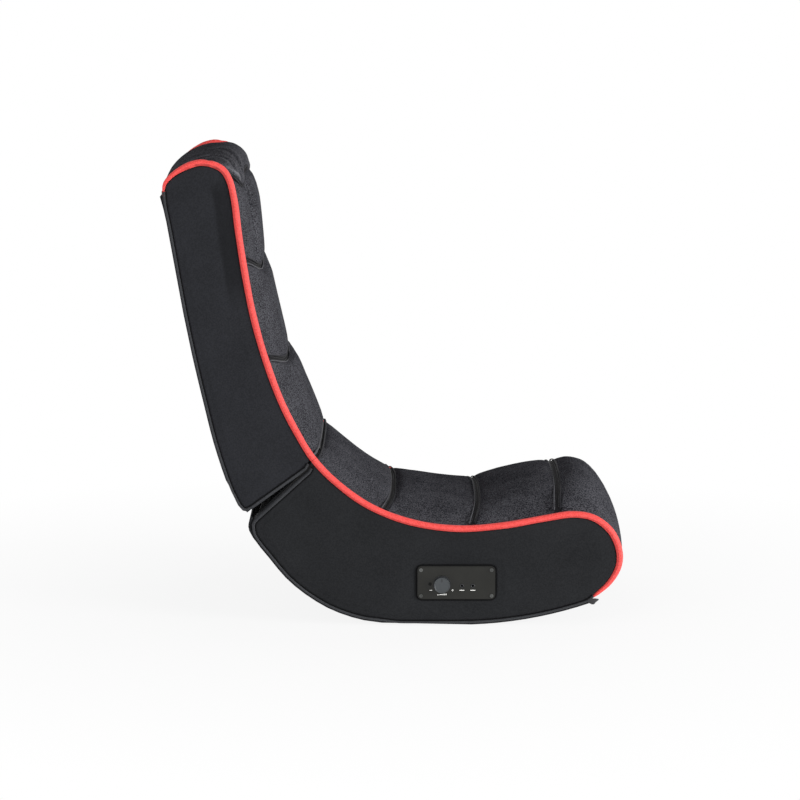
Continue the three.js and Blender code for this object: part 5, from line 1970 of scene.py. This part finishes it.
    def _marks(self) -> None:
        """Prints plain ticks: a level row under the knob and a bar under each socket."""
        x, z = self.knob_middle.x, self.knob_middle.z
        back = self.face + 0.0001
        rows = [
            ("low_mark", x - 0.0175, z - 0.0094, 0.0042, self.mark),
            ("high_mark", x + 0.0168, z - 0.0094, 0.0034, self.mark),
            ("high_mark_upright", x + 0.0168, z - 0.0094, self.mark, 0.0034),
        ]
        for i in range(self.levels):
            tall = 0.0010 + 0.00026 * i
            rows.append((f"level_mark_{i}", x - 0.0066 + 0.0022 * i, z - 0.0172 + tall / 2, 0.0015, tall))
        for number, (place, height) in enumerate(self._socket_places()):
            rows.append((f"socket_mark_{number}", place, height - 0.0072, 0.0078, self.mark))
        for row in rows:
            mount(self._bar(*row, back, self.relief), FINISHES.print_white, Body.SEAT)


class Frame:
    """The boards, rails, hinges and electric parts that keep their solids' shape."""

    FINISH_OF = {
        "back_side_board": FINISHES.black_board, "seat_side_board": FINISHES.black_board,
        "back_top_rail": FINISHES.plywood, "back_middle_rail": FINISHES.plywood,
        "back_fold_rail": FINISHES.black_board, "seat_front_rail": FINISHES.plywood,
        "seat_middle_rail": FINISHES.plywood, "seat_fold_rail": FINISHES.black_board,
        "seat_deck": FINISHES.plywood, "back_deck": FINISHES.fibreboard,
        "back_rear_panel": FINISHES.fibreboard, "rocker_panel": FINISHES.fibreboard,
        "hinge_": FINISHES.hinge, "panel_screw": FINISHES.screw, "potentiometer": FINISHES.steel,
        "speaker_right": FINISHES.speaker, "speaker_left": FINISHES.speaker,
        "control_panel": FINISHES.panel, "amplifier_box": FINISHES.housing,
        "audio_sockets": FINISHES.housing, "circuit_board": FINISHES.laminate,
        "power_lamp": FINISHES.lens,
    }

    def build(self) -> None:
        """Gives each kept solid its finish."""
        for name, node in NODES.items():
            for start, finish in self.FINISH_OF.items():
                if name.startswith(start) and not node.hide_render:
                    node.data.materials.clear()
                    node.data.materials.append(finish.material())
                    LOG.info("%s: %s", name, finish.name)


# Each lamp's name, place, width in metres and power in watts
LAMPS = (
    ("key_lamp", (3.5, -2.0, 1.0), 1.8, 150),
    ("top_lamp", (-0.4, -0.6, 4.2), 3.0, 5),
    ("fill_lamp", (-2.6, -4.0, 1.8), 3.0, 45),
)
LAMP_AIM = Vector((0, 0, 0.35))


@dataclass
class Studio:
    """Floor, light and the camera at the photograph's angle."""

    azimuth: float = -0.13
    elevation: float = 8.6
    distance: float = 5.3
    scale: float = 1.567
    target: tuple[float, float, float] = (0.0045, -0.2098, 0.3600)

    def build(self) -> None:
        """Makes the floor, the lights, the world and the camera."""
        self._floor()
        self._world()
        for lamp in LAMPS:
            self._lamp(*lamp)
        self._camera()
        bpy.context.scene.view_settings.view_transform = "Standard"

    def _floor(self) -> None:
        """Makes the pale floor."""
        floor = Bench.add(
            bpy.ops.mesh.primitive_plane_add, "pale_floor", size=120.0, location=(0, 0, -0.0005),
        )
        material = bpy.data.materials.new("pale_floor_paint")
        material.use_nodes = True
        g = Graph(material.node_tree)
        shader = material.node_tree.nodes["Principled BSDF"]
        place = g.add("ShaderNodeTexCoord").outputs["Object"]
        colour = g.mix(g.noise(place, 3.0, 2.0), (0.93, 0.93, 0.93, 1.0), (0.95, 0.95, 0.95, 1.0))
        g.link(colour, shader.inputs["Base Color"])
        shader.inputs["Roughness"].default_value = 1.0
        shader.inputs["Specular IOR Level"].default_value = 0.0
        reach = g.add("ShaderNodeVectorMath", {0: place}, operation="LENGTH").outputs["Value"]
        white = g.add("ShaderNodeEmission", {"Color": (1, 1, 1, 1), "Strength": 1.0})
        far = g.add("ShaderNodeMixShader", {
            0: g.span(reach, 0.35, 1.2, 0.88, 1.0), 1: shader.outputs[0], 2: white.outputs[0],
        })
        end = material.node_tree.nodes["Material Output"]
        g.link(far.outputs[0], end.inputs["Surface"])
        floor.data.materials.append(material)

    def _world(self) -> None:
        """Lights the scene evenly and shows white behind it."""
        world = bpy.data.worlds.new("studio_world")
        bpy.context.scene.world = world
        world.use_nodes = True
        world.node_tree.nodes.clear()
        g = Graph(world.node_tree)
        rays = g.add("ShaderNodeLightPath").outputs
        direct = g.math("MAXIMUM", rays["Is Camera Ray"], rays["Is Glossy Ray"])
        seen = g.math("MAXIMUM", direct, rays["Is Transmission Ray"])
        way = g.add("ShaderNodeTexCoord").outputs["Generated"]
        up = g.add("ShaderNodeSeparateXYZ", {0: way}).outputs["Z"]
        strength = g.span(up, 0.0, 1.0, 0.95, 0.1)
        soft = g.add("ShaderNodeBackground", {"Color": (1, 1, 1, 1), "Strength": strength})
        white = g.add("ShaderNodeBackground", {"Color": (1, 1, 1, 1), "Strength": 1.0})
        both = g.add("ShaderNodeMixShader", {0: seen, 1: soft.outputs[0], 2: white.outputs[0]})
        g.add("ShaderNodeOutputWorld", {"Surface": both.outputs[0]})

    def _lamp(self, name: str, place: tuple[float, float, float], size: float, power: float) -> None:
        """Adds one soft lamp that looks at the chair.

        Args:
            name: Its name.
            place: Where it hangs.
            size: Its width.
            power: Its power.
        """
        data = bpy.data.lights.new(name, "AREA")
        data.shape, data.size, data.energy = "DISK", size, power
        lamp = bpy.data.objects.new(name, data)
        bpy.context.scene.collection.objects.link(lamp)
        lamp.location = place
        lamp.rotation_euler = (LAMP_AIM - Vector(place)).to_track_quat("-Z", "Y").to_euler()

    def _camera(self) -> None:
        """Sets the camera at the photograph's angle and distance."""
        data = bpy.data.cameras.new("photo_camera")
        camera = bpy.data.objects.new("photo_camera", data)
        bpy.context.scene.collection.objects.link(camera)
        a, e = math.radians(self.azimuth), math.radians(self.elevation)
        back = Vector((math.sin(a) * math.cos(e), -math.cos(a) * math.cos(e), math.sin(e)))
        camera.location = Vector(self.target) + back * self.distance
        camera.rotation_euler = (-back).to_track_quat("-Z", "Y").to_euler()
        data.sensor_width = 36.0
        data.lens = self.distance * 1000 / self.scale * data.sensor_width / 800
        data.clip_start, data.clip_end = 0.1, 300
        bpy.context.scene.camera = camera


def build_covers() -> None:
    """Makes the cloth covers, edge tapes and sheets of back and seat."""
    for name, side in (("right", -1), ("left", 1)):
        back = SideCover(f"back_side_cover_{name}", Body.BACK, side, FINISHES.back_cover)
        seat = SideCover(f"seat_side_cover_{name}", Body.SEAT, side, FINISHES.seat_cover)
        back.build()
        seat.build()
        EdgeTape(f"back_binding_{name}", Body.BACK, side, back, seat).build()
        EdgeTape(f"seat_binding_{name}", Body.SEAT, side, seat, back).build()
        SmallTrim(side, name).build()
    ClothSheet("back_rear_cover", Body.BACK, FINISHES.back_cover, hem=(0.0211, -0.0327)).build()
    ClothSheet("back_fold_cover", Body.BACK, FINISHES.back_cover).build()
    ClothSheet("seat_fold_cover", Body.SEAT, FINISHES.seat_cover).build()
    ClothSheet("rocker_sole", Body.SEAT, FINISHES.sole).build()


def main() -> None:
    """Builds the studio and every piece."""
    logging.basicConfig(level=logging.INFO, format="%(message)s")
    Studio().build()
    Cushions().build()
    for side, name in ((-1, "right"), (1, "left")):
        CordedEdge(side, name).build()
    build_covers()
    AudioPanel().build()
    Frame().build()
    Bench.clear()
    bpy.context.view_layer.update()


if __name__ == "__main__":
    main()
